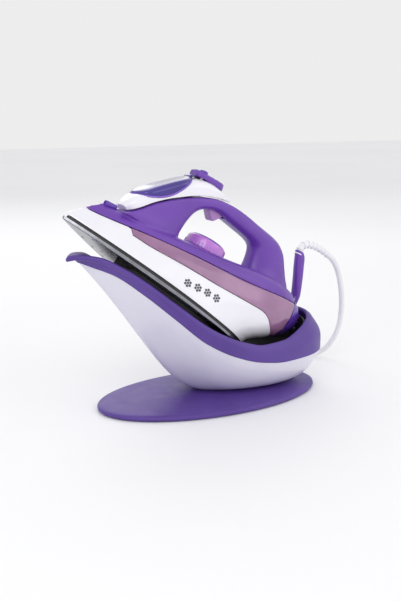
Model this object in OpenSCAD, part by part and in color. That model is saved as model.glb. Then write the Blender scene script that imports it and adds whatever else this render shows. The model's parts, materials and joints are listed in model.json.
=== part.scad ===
/* [Iron] */
// Length of the iron from sole tip to the back of the heel
iron_len = 296; // [270:1:330]
// Width of the sole plate at its widest
sole_w = 114; // [100:1:124]
// Thickness of the sole plate
sole_t = 3.2; // [2.8:0.1:3.6]
// Wall of the moulded housings
wall = 2.4; // [1.8:0.1:3]
// Radius of the temperature dial
dial_r = 23; // [18:0.5:25]
// Radius of the dial's shaft
dial_shaft_r = 3; // [2:0.1:3.6]
// Angle that the dial turns from cold to hottest
dial_turn = 270; // [180:5:300]
// Half width of the grip
grip_w = 15.5; // [14:0.1:18]
// Height of the grip
grip_h = 19; // [16:0.5:22]

/* [Controls] */
// Radius of the spray and steam buttons
button_r = 4.8; // [4:0.1:5.4]
// Travel of the spray and steam buttons
button_travel = 2.2; // [1.6:0.1:2.6]
// Radius of the pump pistons
piston_r = 3.4; // [2.6:0.1:3.8]
// Running clearance of a piston or shaft in its bore, on the radius
fit_gap = 0.06; // [0.03:0.01:0.1]
// Half width of the steam trigger
trigger_w = 6.5; // [5:0.1:8]
// Half width of the fill door at its widest
door_w = 17; // [16:0.1:17.6]

/* [Dock] */
// Length of the base plate
base_len = 260; // [220:1:300]
// Width of the base plate
base_w = 146; // [120:1:170]
// Height of the base plate's edge
base_edge = 6; // [5:0.1:9]
// Half width of the dock's rim
rim_w = 63; // [62:0.5:70]
// Width of the rim's rolled lip
lip = 5; // [4:0.1:6]

/* [Mains cord] */
// Diameter of the cord
cord_d = 6.5; // [5:0.1:7.5]
// Diameter of the coil at the middle of its turns
coil_d = 76; // [65:1:90]
// Radius of the plug's pins
pin_r = 2.4; // [2:0.1:2.4]
// Distance between the plug's pins
pin_gap = 19; // [18:0.5:22]

/* [Hidden] */
$fn = 48;

purple = "#6a3fb0";
deep_purple = "#4c2191";
pink = "#b57cab";
magenta = "#d07be0";
white = "#f2f1f6";
black = "#202024";
steel = "#b9bcc2";
brass = "#c9a24a";

kx = iron_len / 296;      // stretch of the iron and the cradle along the sole
ky = sole_w / 114;        // stretch across
rest_angle = 38.8;        // nose-up angle in the dock
iron_x = -164 * kx;       // sole tip in the dock's frame
iron_z = 206.7 * kx;
gap = 0.3;                // parting gap between housings

// ---- profiles in the iron's frame: x back from the sole tip, z up from the sole ----
function at(x, table) = lookup(x / kx, table);
function nose(z) = kx * lookup(z, [[0, 0], [5, 3], [10, 7], [18, 13], [34, 26], [45, 44], [85, 70]]);
function tail(z) = kx * lookup(z, [[0, 240], [9, 244], [19, 258], [32, 276], [45, 290], [58, 296],
    [68, 295], [75, 287], [78, 279], [90, 276]]);
function half_width(z) = ky * lookup(z, [[0, 57], [9, 55.5], [20, 54], [30, 52.5], [45, 49], [60, 44],
    [75, 39], [90, 34]]);
function skirt_top(x) = at(x, [[13, 17.4], [26, 19.4], [41, 22.6], [57, 26.5], [60, 20.8], [77, 21.1],
    [90, 22.4], [121, 26.3], [158, 30.2], [199, 36.5], [217, 39.2], [228, 39.3], [238, 35.8],
    [254, 28.5], [262, 24], [268, 20]]);
function tank_low(x) = max(skirt_top(x), at(x, [[246, 0], [248, 19], [255, 20.5], [266, 29]]));
function purple_low(x) = at(x, [[13, 17.7], [26, 19.7], [41, 22.9], [57, 26.8], [86, 33.6], [116, 40.1],
    [151, 46.6], [190, 54.2], [217, 61.2], [245, 68.5], [266, 73]]);
function deck_top(x) = at(x, [[13, 19.5], [27, 33], [46, 38], [80, 44], [112, 51], [160, 62],
    [200, 73], [240, 82], [266, 84.5]]);
split_x = 266 * kx;       // where the heel cap meets the tank and the upper body
tank_x = 57 * kx;         // the tank's blunt front end

// plan outline of the iron: pointed nose, widest two thirds back, full rounded tail
peak = 0.66;
function plan(t) = t <= 0 || t >= 1 ? 0
    : t < peak ? pow(sin(90 * t / peak), 0.9)
    : pow(1 - pow((t - peak) / (1 - peak), 2.6), 1 / 2.6);
function side_y(x, z, inset = 0) =
    let (a = nose(z) + 2.2 * inset, b = tail(z) - inset)
    max(0.7 - 0.03 * inset, (half_width(z) - inset) * plan((x - a) / (b - a)));

// ---- lofting: every ring lists one side from front to back, then the other side back again ----
steps = 18;
function ease(n) = [for (i = [0:n]) (1 - cos(180 * i / n)) / 2];
function mirror_y(side) = concat(side, [for (i = [len(side) - 1:-1:0])
    [side[i].x, -side[i].y, side[i].z]]);
// a level ring of the iron's body between x0 and x1, at the height that z_at gives for each x
function ring(x0, x1, z_at, inset = 0, places = ease(steps)) = mirror_y([for (u = places)
    let (x = x0 + u * (x1 - x0), z = z_at(x)) [x, -side_y(x, z, inset), z]]);
function level(z, inset = 0) =
    ring(nose(z) + 2.2 * inset, tail(z) - inset, function(x) z, inset);

// six times the volume inside a closed set of faces, positive where they turn anticlockwise
function turn(p, faces) = [for (f = faces) let (a = p[f[0]])
    a * cross(p[f[1]], p[f[2]]) + a * cross(p[f[2]], p[f[3]])] * [for (f = faces) 1];
module skin(rings, closed = false) {
    n = len(rings[0]);
    m = len(rings);
    walls = [for (k = [0:m - (closed ? 1 : 2)], j = [0:n - 1])
        let (a = k * n, b = ((k + 1) % m) * n, q = (j + 1) % n) [a + j, a + q, b + q, b + j]];
    low = [for (j = [0:n / 2 - 2]) [j, n - 1 - j, n - 2 - j, j + 1]];
    top = [for (j = [0:n / 2 - 2]) [for (i = [j + 1, n - 2 - j, n - 1 - j, j]) (m - 1) * n + i]];
    points = [for (r = rings, p = r) p];
    faces = closed ? walls : concat(walls, low, top);
    out = turn(points, faces) > 0 ? [for (f = faces) [f[3], f[2], f[1], f[0]]] : faces;
    polyhedron(points, out, convexity = 8);
}

// ---- the handle's arch: sections between a lower and an upper point of the side view ----
// squareness 0 is an ellipse, 1 is a flat side
function section(b, t, w, flat_top = 0, flat_low = 0, n = 20) = [for (j = [0:n - 1])
    let (a = -90 + (j + 0.5) * 360 / n, s = sin(a),
         h = s > 0 ? 0.94 * min(1, s * (1 + 3 * flat_top)) + 0.06 * s
                   : -0.94 * min(1, -s * (1 + 3 * flat_low)) + 0.06 * s,
         m = (b + t) / 2, d = (t - b) / 2)
    [kx * (m.x + d.x * h), w * (cos(a) > 0 ? 1 : -1) * pow(abs(cos(a)), 0.7), m.y + d.y * h]];

module iron_place() translate([iron_x, 0, iron_z]) rotate([0, rest_angle, 0]) children();
// a local frame at (x, z) of the side view, turned so that its z leans forward by lean
module at_side(x, z, lean = 0, y = 0) translate([x, y, z]) rotate([0, -lean, 0]) children();

module screw(shank_r, length, head_r = 0, head_h = 1.6)
    union() {
        translate([0, 0, -length]) cylinder(r = shank_r, h = length);
        difference() {
            cylinder(r = head_r > 0 ? head_r : shank_r * 1.8, h = head_h);
            for (a = [0, 90]) rotate([0, 0, a])
                translate([-0.45, -shank_r, head_h - 0.7]) cube([0.9, 2 * shank_r, 1]);
        }
    }

// ================= dock =================
base_top = base_edge + 3.6;
function base_ring(k, z) = mirror_y([for (u = ease(steps))
    [k * base_len * (u - 0.5), -max(0.4, k * base_w * pow(max(0, u * (1 - u)), 0.5)), z]]);

mat_t = 1.4;
module base_mat() {
    color(black) skin([base_ring(0.9, 0), base_ring(0.9, mat_t)]);
}

floor_t = 2.2;
module base_plate() {
    color(purple) difference() {
        skin([base_ring(0.985, 0.8), base_ring(1, 2), base_ring(1, base_edge - 1.6),
              base_ring(0.985, base_edge - 0.3), base_ring(0.95, base_edge + 0.5),
              base_ring(0.7, base_edge + 2.2), base_ring(0.35, base_top)]);
        skin([base_ring(0.905, -1), base_ring(0.905, mat_t + 0.02)]);
        translate([0, 0, mat_t]) linear_extrude(base_top - floor_t - mat_t - 1.2) weight_outline(0.4);
        base_screw_places() translate([0, 0, -10]) cylinder(r = screw_r + 0.3, h = 40);
    }
}

weight_len = 110;
weight_w = 64;
module weight_outline(grow = 0) {
    square([weight_len + 2 * grow, weight_w + 2 * grow], center = true);
}
module base_weight() {
    color(steel) translate([0, 0, mat_t + 0.1]) difference() {
        linear_extrude(base_top - floor_t - mat_t - 1.6) weight_outline();
        base_screw_places() translate([0, 0, -10]) cylinder(r = screw_r * 2 + 0.6, h = 40);
    }
}

screw_r = 1.75;
foot_half = 18;
module base_screw_places() for (sx = [-1, 1], sy = [-1, 1])
    translate([foot_x + sx * 22, sy * 7, 0]) children();
module base_screws() {
    color(steel) base_screw_places() translate([0, 0, base_top - floor_t - 1.8])
        rotate([180, 0, 0]) screw(screw_r, 9);
}

// the hull grows from a small foot to the rim's lower edge, fuller at the back than at the nose
foot_x = 14 * kx;
foot_z = base_top + 0.05;
foot_x0 = -12 * kx;
foot_x1 = 58 * kx;
hull_x0 = -150 * kx;
hull_x1 = 135 * kx;
dock_peak = 0.6;
function dock_plan(t) = t <= 0 || t >= 1 ? 0
    : t < dock_peak ? pow(sin(90 * t / dock_peak), 0.72)
    : pow(1 - pow((t - dock_peak) / (1 - dock_peak), 2.5), 1 / 2.5);
function rim_low(x) = kx * at(x, [[-152, 159], [-124, 147], [-97, 126], [-68, 100], [-38, 74],
    [-6, 57], [26, 47], [59, 43], [100, 43], [146, 44]]);
function rim_top(x) = kx * at(x, [[-165, 165], [-155, 168], [-139, 166], [-116, 154], [-98, 141],
    [-69, 117], [-39, 93], [-19, 81], [2, 72], [30, 65], [57, 66], [80, 73], [105, 82], [123, 87]]);
// how far each side bulges: near the foot, and near the rim, 1 is straight
function bulge(u, v) = lookup(u, [[0, 0.78], [0.25, 0.72], [0.6, 0.6], [1, 0.42]]) * (1 - v)
    + lookup(u, [[0, 1], [0.25, 0.8], [0.6, 0.6], [1, 0.42]]) * v;
function hull_ring(v, t = 0) = mirror_y([for (u = ease(steps))
    let (p = bulge(u, v), a = pow(v, p), b = pow(v, 1 / p),
         x0 = foot_x0 + 2 * t, x1 = foot_x1 - t, X0 = hull_x0 + 2.5 * t, X1 = hull_x1 - 1.2 * t,
         fx = x0 + u * (x1 - x0), fy = (foot_half - t) * 2 * pow(max(0, u * (1 - u)), 0.5),
         rx = X0 + u * (X1 - X0), ry = (rim_w - 1.5 - t) * dock_plan(u),
         rz = rim_low(rx))
    [fx + a * (rx - fx), -max(0.5, fy + a * (ry - fy)), foot_z + t + b * (rz - t - foot_z - gap)]]);
hull_levels = [0, 0.06, 0.2, 0.4, 0.62, 0.82, 1];

module hull_shell() {
    color(white) difference() {
        skin(concat([for (v = hull_levels) hull_ring(v)],
                    [for (i = [len(hull_levels) - 1:-1:0]) hull_ring(hull_levels[i], wall)]));
        base_screw_places() cylinder(r = screw_r, h = 40);
    }
}

// rim: an outer band from the hull's edge up, a rolled lip, and an inner wall
function rim_ring(x0, x1, w, z_at) = mirror_y([for (u = ease(steps))
    let (x = x0 + u * (x1 - x0)) [x, -max(0.5, w * dock_plan(u)), z_at(x)]]);
rim_x0 = -163 * kx;
rim_x1 = 123 * kx;
module dock_rim() {
    in = lip;
    color(purple) skin([
        rim_ring(-152 * kx, 136 * kx, rim_w - 1, function(x) rim_low(x)),
        rim_ring(-157 * kx, 134.5 * kx, rim_w + 0.2, function(x) rim_low(x) * 0.55 + rim_top(x) * 0.45),
        rim_ring(-163 * kx, 122.5 * kx, rim_w, function(x) rim_top(x) - 5),
        rim_ring(-164 * kx, 120 * kx, rim_w - 1, function(x) rim_top(x) - 2),
        rim_ring(-160 * kx, 117.5 * kx, rim_w - 2.6, function(x) rim_top(x)),
        rim_ring(-150 * kx, 115.5 * kx, rim_w - in, function(x) rim_top(x) - 1.6),
        rim_ring(-146 * kx, 116 * kx, rim_w - in - 0.6, function(x) rim_top(x) - 4),
        rim_ring(-141 * kx, 129 * kx, rim_w - in, function(x) rim_low(x) + 2)], closed = true);
}

// tray: black lining that hangs from the rim's inner wall, its floor below the iron
tray_side = rim_w - lip - 1.6;
function tray_floor(x) = kx * at(x, [[-150, 156], [-116, 142], [-97, 126], [-69, 103], [-39, 79],
    [-10, 58], [10, 48], [30, 44], [95, 44], [125, 52]]);
module rest_tray() {
    color(black) difference() {
        skin([
            rim_ring(-118 * kx, 101 * kx, tray_side * 0.7, function(x) tray_floor(x) - 2),
            rim_ring(-126 * kx, 113 * kx, tray_side * 0.9, function(x) tray_floor(x) - 1),
            rim_ring(-136 * kx, 114 * kx, tray_side, function(x) max(tray_floor(x) + 2,
                rim_top(x) - 12)),
            rim_ring(-136 * kx, 114 * kx, tray_side, function(x) rim_top(x) - 7),
            rim_ring(-133 * kx, 112.6 * kx, tray_side - 1.6, function(x) rim_top(x) - 7),
            rim_ring(-132 * kx, 112 * kx, tray_side - 1.8, function(x) max(tray_floor(x) + 4,
                rim_top(x) - 11)),
            rim_ring(-124 * kx, 110 * kx, tray_side * 0.88, function(x) tray_floor(x) + 1.2),
            rim_ring(-116 * kx, 99 * kx, tray_side * 0.68, function(x) tray_floor(x) + 0.4)]);
        tray_screw_places() translate([0, 0, -30]) cylinder(r = screw_r + 0.2, h = 60);
    }
}

module tray_screw_places() for (p = [[-60, 0, 98.5], [40, 24, 44], [40, -24, 44]])
    translate([p.x * kx, p.y, p.z * kx]) children();
module tray_screws() {
    color(steel) tray_screw_places() translate([0, 0, 1.4]) screw(screw_r, 9);
}

// pad: heat-proof bed that carries the sole, on four pegs that stand on the tray's floor
pad_x0 = 84 * kx;
pad_x1 = 214 * kx;
pad_in = 16;
module rest_pad() {
    color(black) difference() {
        union() {
            iron_place() skin([
                ring(pad_x0 + 8, pad_x1 - 14, function(x) sole_z - 9, pad_in + 3),
                ring(pad_x0, pad_x1 - 2, function(x) sole_z - 6, pad_in),
                ring(pad_x0, pad_x1, function(x) sole_z - gap, pad_in)]);
            for (p = [[-62, 18, 124], [-8, 26, 81]], s = [-1, 1])
                translate([p.x * kx, s * p.y, (p.z - 60) * kx]) cylinder(r = 5, h = 60 * kx - 14);
        }
        skin([rim_ring(-118 * kx, 104 * kx, tray_side * 0.7, function(x) tray_floor(x) + 0.45),
              rim_ring(-118 * kx, 104 * kx, tray_side * 0.7, function(x) -40)]);
    }
}

// ================= iron: sole and heater =================
function flat(r) = [for (p = r) [p.x, p.y]];
hole_r = 1.5;
sole_z = -4.6;            // underside of the sole
sole_top = sole_z + sole_t;
sole_edge = 0.9;          // chamfer round the underside
module steam_holes() {
    for (i = [0:7]) let (x = (34 + 19 * i) * kx, y = side_y(x, 0) - 9)
        for (s = y > 6 ? [-1, 1] : [0]) translate([x, s * y, sole_z - 1]) cylinder(r = hole_r, h = 40);
    for (i = [0:3]) let (x = (60 + 24 * i) * kx, y = side_y(x, 0) * 0.38)
        for (s = [-1, 1]) translate([x, s * y, sole_z - 1]) cylinder(r = hole_r, h = 40);
}
module sole_plate() {
    color(steel) iron_place() difference() {
        union() {
            translate([0, 0, sole_z]) linear_extrude(sole_edge) polygon(flat(level(0, 1.2)));
            translate([0, 0, sole_z + sole_edge]) linear_extrude(sole_t - sole_edge)
                polygon(flat(level(0)));
        }
        intersection() {
            steam_holes();
            translate([0, 0, sole_z]) cube([400, 200, 4 * sole_t], center = true);
        }
    }
}

// outline at the sole's level with a blunt front end at x
function blunt(x, inset, z = 0) = ring(x * kx, tail(z) - inset, function(x) z, inset);
cast_top = 13;
cast_h = cast_top - sole_top;
cast_in = 15;
element_r = 3.4;
element_y = 21 * ky;
element_x0 = 96 * kx;
element_x1 = 216 * kx;
module hairpin(r) {
    for (s = [-1, 1]) translate([element_x0, s * element_y, 0]) rotate([0, 90, 0])
        cylinder(r = r, h = element_x1 - element_x0);
    translate([element_x0, 0, 0]) rotate([0, 0, 90])
        rotate_extrude(angle = 180) translate([element_y, 0]) circle(r = r);
}
module racetrack(x0, x1, r) {
    translate([x0, -r]) square([x1 - x0, 2 * r]);
    for (x = [x0, x1]) translate([x, 0]) circle(r = r);
}
module casting_screw_places() for (p = [[58, 0], [200, 33], [200, -33]])
    translate([p.x * kx, p.y * ky, 0]) children();
module heater_casting() {
    color("#9a9ca0") iron_place() difference() {
        translate([0, 0, sole_top]) linear_extrude(cast_h) polygon(flat(blunt(46, cast_in)));
        translate([0, 0, cast_top]) hairpin(element_r);
        for (s = [-1, 1]) translate([element_x1, s * element_y, cast_top - element_r])
            cylinder(r = element_r, h = 10);
        translate([0, 0, sole_top + 5]) linear_extrude(cast_h)
            racetrack(element_x0, element_x1 - 20, element_y - element_r - 5);
        casting_screw_places() translate([0, 0, sole_top + 2]) cylinder(r = 2, h = 25);
        intersection() {
            steam_holes();
            translate([0, 0, sole_top]) cube([400, 2 * (side_y(150 * kx, 0) - 12), 60], center = true);
        }
    }
}
module heating_element() {
    color("#6f6f74") iron_place() {
        translate([0, 0, cast_top]) hairpin(element_r);
        for (s = [-1, 1]) translate([element_x1, s * element_y, cast_top]) {
            sphere(r = element_r);
            cylinder(r = element_r, h = 6);
        }
    }
}
cover_t = 1.2;
module chamber_cover() {
    color(steel) iron_place() translate([0, 0, cast_top]) difference() {
        linear_extrude(cover_t)
            racetrack(element_x0, element_x1 - 20, element_y - element_r - 2);
        translate([valve_x, 0, -1]) cylinder(r = valve_r + gap, h = 4);
    }
}

shield_z = 1.7;
shield_top = cast_top + 6;
module heat_shield() {
    color(black) iron_place() difference() {
        union() {
            skin([level(sole_top + 0.1, 1.4), level(shield_z, 1.2)]);
            skin([blunt(40, 6, shield_z - 1), blunt(40, 6, shield_top - 1), blunt(41, 7.5, shield_top)]);
        }
        translate([0, 0, sole_top - 1]) linear_extrude(shield_top - 2.2 - sole_top + 1)
            polygon(flat(blunt(44, 13.8)));
        casting_screw_places() cylinder(r = 2.3, h = 60);
        translate([valve_x, 0, 0]) cylinder(r = valve_r + gap, h = 60);
        dial_axis() cylinder(r = thermostat_r + 0.5, h = 160, center = true);
        for (s = [-1, 1]) translate([element_x1, s * element_y, 0])
            cylinder(r = element_r + 0.5, h = 60);
    }
}
module sole_screws() {
    color(steel) iron_place() casting_screw_places() translate([0, 0, shield_top + 0.02])
        screw(2, shield_top - sole_top - 3);
}

// ================= iron: housings =================
module skirt() {
    in = wall;
    top = function(x) skirt_top(x) - gap;
    z0 = shield_z + gap;
    step = [for (x = [tank_x - 0.6, tank_x + 3]) (x - nose(17)) / (tail(23) - nose(17))];
    us = concat([for (u = ease(steps)) if (u < step[0] - 0.03) u], step,
                [for (u = ease(steps)) if (u > step[1] + 0.03) u]);
    mid = function(x) (z0 + skirt_top(x)) / 2;
    low = function(x) z0;
    color(white) iron_place() skin([
        ring(nose(z0), tail(z0), low, 0, us), ring(nose(10), tail(15), mid, 0, us),
        ring(nose(17), tail(23), top, 0, us),
        ring(nose(17) + 2.2 * in, tail(23) - in, top, in, us),
        ring(nose(10) + 2.2 * in, tail(15) - in, mid, in, us),
        ring(nose(z0) + 2.2 * in, tail(z0) - in, low, in, us)], closed = true);
}

tank_floor = shield_top + 3;
module water_tank() {
    x0 = tank_x + 4;
    x1 = split_x - gap;
    in = wall;
    low = function(x) tank_low(x) + 3 * gap;
    top = function(x) purple_low(x) - gap;
    under = function(x) min(top(x) - 1, max(tank_floor, tank_low(x) + 1));
    mid = function(x) (tank_low(x) + purple_low(x)) / 2;
    sole_side = function(x) min(top(x) - 0.5, max(tank_floor + 2, tank_low(x) + 3));
    color(pink, 0.8) iron_place() difference() {
        skin([
            ring(x0 + 22, x1 - 12, under, 12), ring(x0 + 8, x1 - 3, under, 4),
            ring(x0, x1 - 2, low, 0.4), ring(x0, x1, mid), ring(x0, x1, top, 0.2),
            ring(x0 + 5, x1 - in, top, in), ring(x0 + 8, x1 - in - 1, sole_side, in + 1.5),
            ring(x0 + 22, x1 - 12, sole_side, 13)]);
        dial_axis() cylinder(r = sleeve_r, h = 120, center = true);
        translate([valve_x, 0, 0]) cylinder(r = valve_r - 1.5, h = 40);
    }
}
module tank_lid() {
    top = function(x) purple_low(x) - gap;
    low = function(x) purple_low(x) - 2.2;
    x0 = tank_x + 10;
    x1 = split_x - wall - 3;
    color(pink) iron_place() difference() {
        skin([ring(x0, x1, low, wall + 1), ring(x0, x1, top, wall + 0.7)]);
        translate([neck_x, 0, 0]) cylinder(r = neck_r, h = 60);
        dial_axis() cylinder(r = sleeve_r, h = 120, center = true);
    }
}

// upper body: purple deck from the nose to the heel, with a round cup that the dial sits in
cup_t = 2.6;
module dial_cup(z, h, r) dial_axis() translate([0, 0, z]) cylinder(r = r, h = h);
module upper_body() {
    x0 = nose(18);
    x1 = split_x;
    low = function(x) purple_low(x);
    shoulder = function(x) purple_low(x) * 0.4 + deck_top(x) * 0.6;
    edge = function(x) deck_top(x) - min(1.6, 0.15 * (deck_top(x) - purple_low(x)));
    roof = function(x) max(purple_low(x) + 1, deck_top(x) - wall);
    color(purple) iron_place() difference() {
        union() {
            skin([
                ring(x0, x1, low), ring(x0 + 0.5, x1, shoulder, 0.8), ring(x0 + 6, x1, edge, 5),
                ring(x0 + 14, x1, function(x) deck_top(x), 12)]);
            dial_cup(-cup_t, cup_t, dial_r + cup_t);
        }
        difference() {
            skin([
                ring(x0 + 16, x1 - wall, function(x) purple_low(x) - 1, wall),
                ring(x0 + 22, x1 - wall, function(x) purple_low(x) * 0.5 + roof(x) * 0.5, wall + 1),
                ring(x0 + 28, x1 - wall, roof, 7 + wall)]);
            dial_cup(-cup_t, 30, dial_r + cup_t);
        }
        dial_cup(-0.4, 40, dial_r + 0.6);
        translate([neck_x, 0, 0]) cylinder(r = neck_r + gap, h = 90);
        dial_axis() cylinder(r = sleeve_r, h = 120, center = true);
        nozzle_axis() cylinder(r = nozzle_r, h = nozzle_len);
    }
}

// handle: front column, grip and rear post as one hollow arch standing on the deck
grip_mid = 109;
grip_low = grip_mid - grip_h / 2;
grip_top = grip_mid + grip_h / 2;
arch = [ // lower point, upper point, half width, how flat the top is
    [[114, 51.6], [48.5, 39.5], 19, 1], [[112.5, 56], [56.5, 49], 18, 1],
    [[112, 62], [64.5, 60], 17.4, 1], [[112, 72], [75.5, 72.2], 17, 1],
    [[113.5, 82], [86, 82], 16.6, 1], [[118, 90], [97, 91.4], 16.4, 1],
    [[126, 96], [109.5, 100.4], 16.2, 1], [[137, grip_low], [124, 108.6], grip_w, 1],
    [[152, grip_low + 0.3], [146, grip_top - 3.4], grip_w, 0.6],
    [[170, grip_low + 0.8], [168, grip_top - 0.8], grip_w, 0.2],
    [[188, grip_low + 1], [196, grip_top + 2], grip_w, 0],
    [[196, grip_low - 1], [221, grip_top + 2], grip_w, 0],
    [[199, 95], [236, 114.5], grip_w + 0.2, 0], [[201.5, 89], [248, 103], grip_w + 0.8, 0],
    [[203.5, 82], [258, 93], grip_w + 2, 0], [[205, 76.2], [265, 86.6], grip_w + 4.5, 0]
];
function thin(s, by) = let (d = s[1] - s[0], n = d / norm(d))
    [s[0] + n * by, s[1] - n * by, s[2] - by, s[3]];
function arch_ring(s) = section(s[0], s[1], s[2], s[3]);
module handle() {
    inner = [for (i = [len(arch) - 1:-1:0]) thin(arch[i], wall)];
    color(purple) iron_place() difference() {
        skin(concat([for (s = arch) arch_ring(s)], [for (s = inner) arch_ring(s)]), closed = true);
        translate([neck_x, 0, 30]) cylinder(r = neck_r + gap, h = 70);
        for (s = [-1, 1]) button_axis(s) cylinder(r = barrel_r + gap, h = 90, center = true);
        trigger_slot();
    }
}

// white cover along the top of the column and the front of the grip
cover = [
    [[47.5, 39.4], [41.5, 42], 10], [[51.5, 44], [43, 50], 14.5], [[56.3, 50], [46, 58], 16],
    [[64, 60.8], [55, 67.5], 16.6], [[75, 73.1], [65.5, 80.5], 16.8], [[85.7, 83], [77, 93.5], 16.8],
    [[96.7, 92.4], [88, 107.5], 16.8], [[109, 101.4], [99, 115], 16.6],
    [[117, 106], [111, 118.6], 16.2], [[127, 111], [125.5, 119.4], 14.5],
    [[141, 115.9], [140.5, 119], 10]
];
module top_cover() {
    color(white) iron_place() difference() {
        skin([for (s = cover) section(s[0] + [-0.25, 0.3], s[1], s[2], 0, 1)]);
        translate([neck_x, 0, 30]) cylinder(r = neck_r + gap, h = 90);
        door_frame() skin([door_ring(-1, 0.3, -door_deep), door_ring(20, 0.3)]);
        for (s = [-1, 1]) button_axis(s) cylinder(r = barrel_r + gap, h = 90, center = true);
        panel_frame() panel_block(0.2);
        door_frame() translate([door_len + hinge_back, 0, door_pin_n]) rotate([90, 0, 0])
            cylinder(r = knuckle_r + 0.6, h = 2 * knuckle_w + 1, center = true);
    }
}

// ================= iron: fill door =================
door_x = 46 * kx;         // the door's lower tip in side view
door_z = 58;
door_slope = 50;
door_len = 66;
hinge_back = 1.5;
knuckle_r = 3;
knuckle_w = 6;
door_pin_n = 0.5;
module door_frame() translate([door_x, 0, door_z]) rotate([0, -door_slope, 0]) children();
door_deep = 9.2;          // how far its sides reach down half way along
function door_half(u) = door_w * pow(sin(90 * min(1, u / 0.2)), 0.5) * (u > 0.8 ?
    pow(1 - pow((u - 0.8) / 0.2, 2) * 0.75, 0.5) : 1);
function door_ring(n, grow, lift = 0, trim = 0) = mirror_y([for (u = ease(12))
    [trim + (door_len - 2 * trim) * u, -max(0.5, door_half(u) + grow), n + lift * sin(180 * u)]]);
module fill_door() {
    color(deep_purple) iron_place() door_frame() difference() {
        union() {
            difference() {
                skin([door_ring(-0.6, 0, -door_deep), door_ring(-0.2, -0.2, -door_deep / 2),
                      door_ring(0.8, -1.6, 0.4), door_ring(1.9, -4.5, 0.8), door_ring(2.3, -8, 1)]);
                skin([door_ring(-2, -2, -door_deep, 5), door_ring(-1.2, -4, -1, 5)]);
            }
            translate([door_len + hinge_back, 0, door_pin_n]) rotate([90, 0, 0])
                cylinder(r = knuckle_r, h = 2 * knuckle_w, center = true);
            translate([door_len - 5, -knuckle_w, door_pin_n - 1.5])
                cube([5 + hinge_back, 2 * knuckle_w, 3]);
        }
        translate([door_len + hinge_back, 0, door_pin_n]) rotate([90, 0, 0])
            cylinder(r = door_pin_r + fit_gap, h = 60, center = true);
    }
}
door_pin_r = 1;
module door_pin() {
    color(steel) iron_place() door_frame() translate([door_len + hinge_back, 0, door_pin_n])
        rotate([90, 0, 0]) cylinder(r = door_pin_r, h = 2 * knuckle_w + 5, center = true);
}
neck_x = 78 * kx;
neck_r = 7;
module fill_neck() {
    color(white) iron_place() translate([neck_x, 0, 0]) difference() {
        translate([0, 0, purple_low(neck_x) - 2]) cylinder(r = neck_r, h = 72 - purple_low(neck_x));
        translate([0, 0, 10]) cylinder(r = neck_r - 1.4, h = 90);
    }
}

// ================= iron: buttons and pumps =================
panel_x = 97 * kx;
panel_z = 118.6;
panel_slope = 16;
module panel_frame() translate([panel_x, 0, panel_z]) rotate([0, -panel_slope, 0]) children();
module button_axis(side) panel_frame() translate([1.5, side * button_y, 0]) children();
panel_len = 38;
panel_w = 11.5;
button_y = 5.6;
function panel_half(u) = panel_w * lookup(u, [[0, 0.55], [0.08, 0.9], [0.2, 1], [0.5, 0.86],
    [0.9, 0.6], [1, 0.35]]);
function panel_ring(n0, n1, grow) = mirror_y([for (u = ease(10))
    [-7 + panel_len * u, -(panel_half(u) + grow), n0 + (n1 - n0) * u]]);
module panel_block(grow) {
    skin([panel_ring(-2.4 - grow, -6.5 - grow, grow - 1), panel_ring(20, 20, grow)]);
}
module button_panel() {
    color(purple) iron_place() panel_frame() difference() {
        skin([panel_ring(-2.4, -6.5, -1), panel_ring(-0.6, -4, 0), panel_ring(2, 0, -0.6),
              panel_ring(3.4, 1.4, -3.4)]);
        for (s = [-1, 1]) translate([1.5, s * button_y, -10]) cylinder(r = button_r + 0.25, h = 30);
    }
}
barrel_r = 5;
barrel_top = -6;
barrel_len = 24;
stem_r = 1.6;
module pump_barrels() {
    color(white) iron_place() for (s = [-1, 1]) button_axis(s) difference() {
        translate([0, 0, barrel_top - barrel_len]) cylinder(r = barrel_r, h = barrel_len);
        translate([0, 0, barrel_top - barrel_len + 1.6]) cylinder(r = piston_r + fit_gap, h = 60);
        translate([0, 0, barrel_top - barrel_len - 1]) cylinder(r = 1, h = 4);
    }
}
spring_turns = 5;
module pump_springs() {
    rest = barrel_top - barrel_len + 1.7;
    low = 12 - button_travel;
    color(steel) iron_place() for (s = [-1, 1]) button_axis(s) difference() {
        union() for (i = [0:spring_turns - 1])
            translate([0, 0, rest + i * (low - 1) / spring_turns]) cylinder(r = 2.6, h = 1);
        translate([0, 0, rest - 1]) cylinder(r = 1.9, h = 30);
    }
}
button_z = -1.4;          // underside of a button in the panel's frame
module button(side) {
    button_axis(side) {
        translate([0, 0, button_z]) cylinder(r = button_r, h = 5.6);
        translate([0, 0, button_z + 5.6]) cylinder(r1 = button_r, r2 = button_r - 1.2, h = 1.2);
    }
}
module piston(side) {
    button_axis(side) {
        translate([0, 0, barrel_top - 12]) cylinder(r = stem_r, h = button_z + 12 - barrel_top);
        translate([0, 0, barrel_top - 12]) cylinder(r = piston_r, h = 7);
    }
}
module spray_button() { color(deep_purple) iron_place() button(-1); }
module steam_button() { color(deep_purple) iron_place() button(1); }
module spray_piston() { color(white) iron_place() piston(-1); }
module steam_piston() { color(white) iron_place() piston(1); }

nozzle_r = 3;
nozzle_len = 13.3;
module nozzle_axis() translate([40.5 * kx, 0, 36.3]) rotate([0, -101.6, 0]) children();
module spray_nozzle() {
    color(deep_purple) iron_place() nozzle_axis() difference() {
        cylinder(r = nozzle_r, h = nozzle_len);
        translate([0, 0, -1]) cylinder(r = 0.8, h = 30);
        translate([0, 0, nozzle_len - 1.5]) cylinder(r = nozzle_r - 1, h = 5);
    }
}

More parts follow.
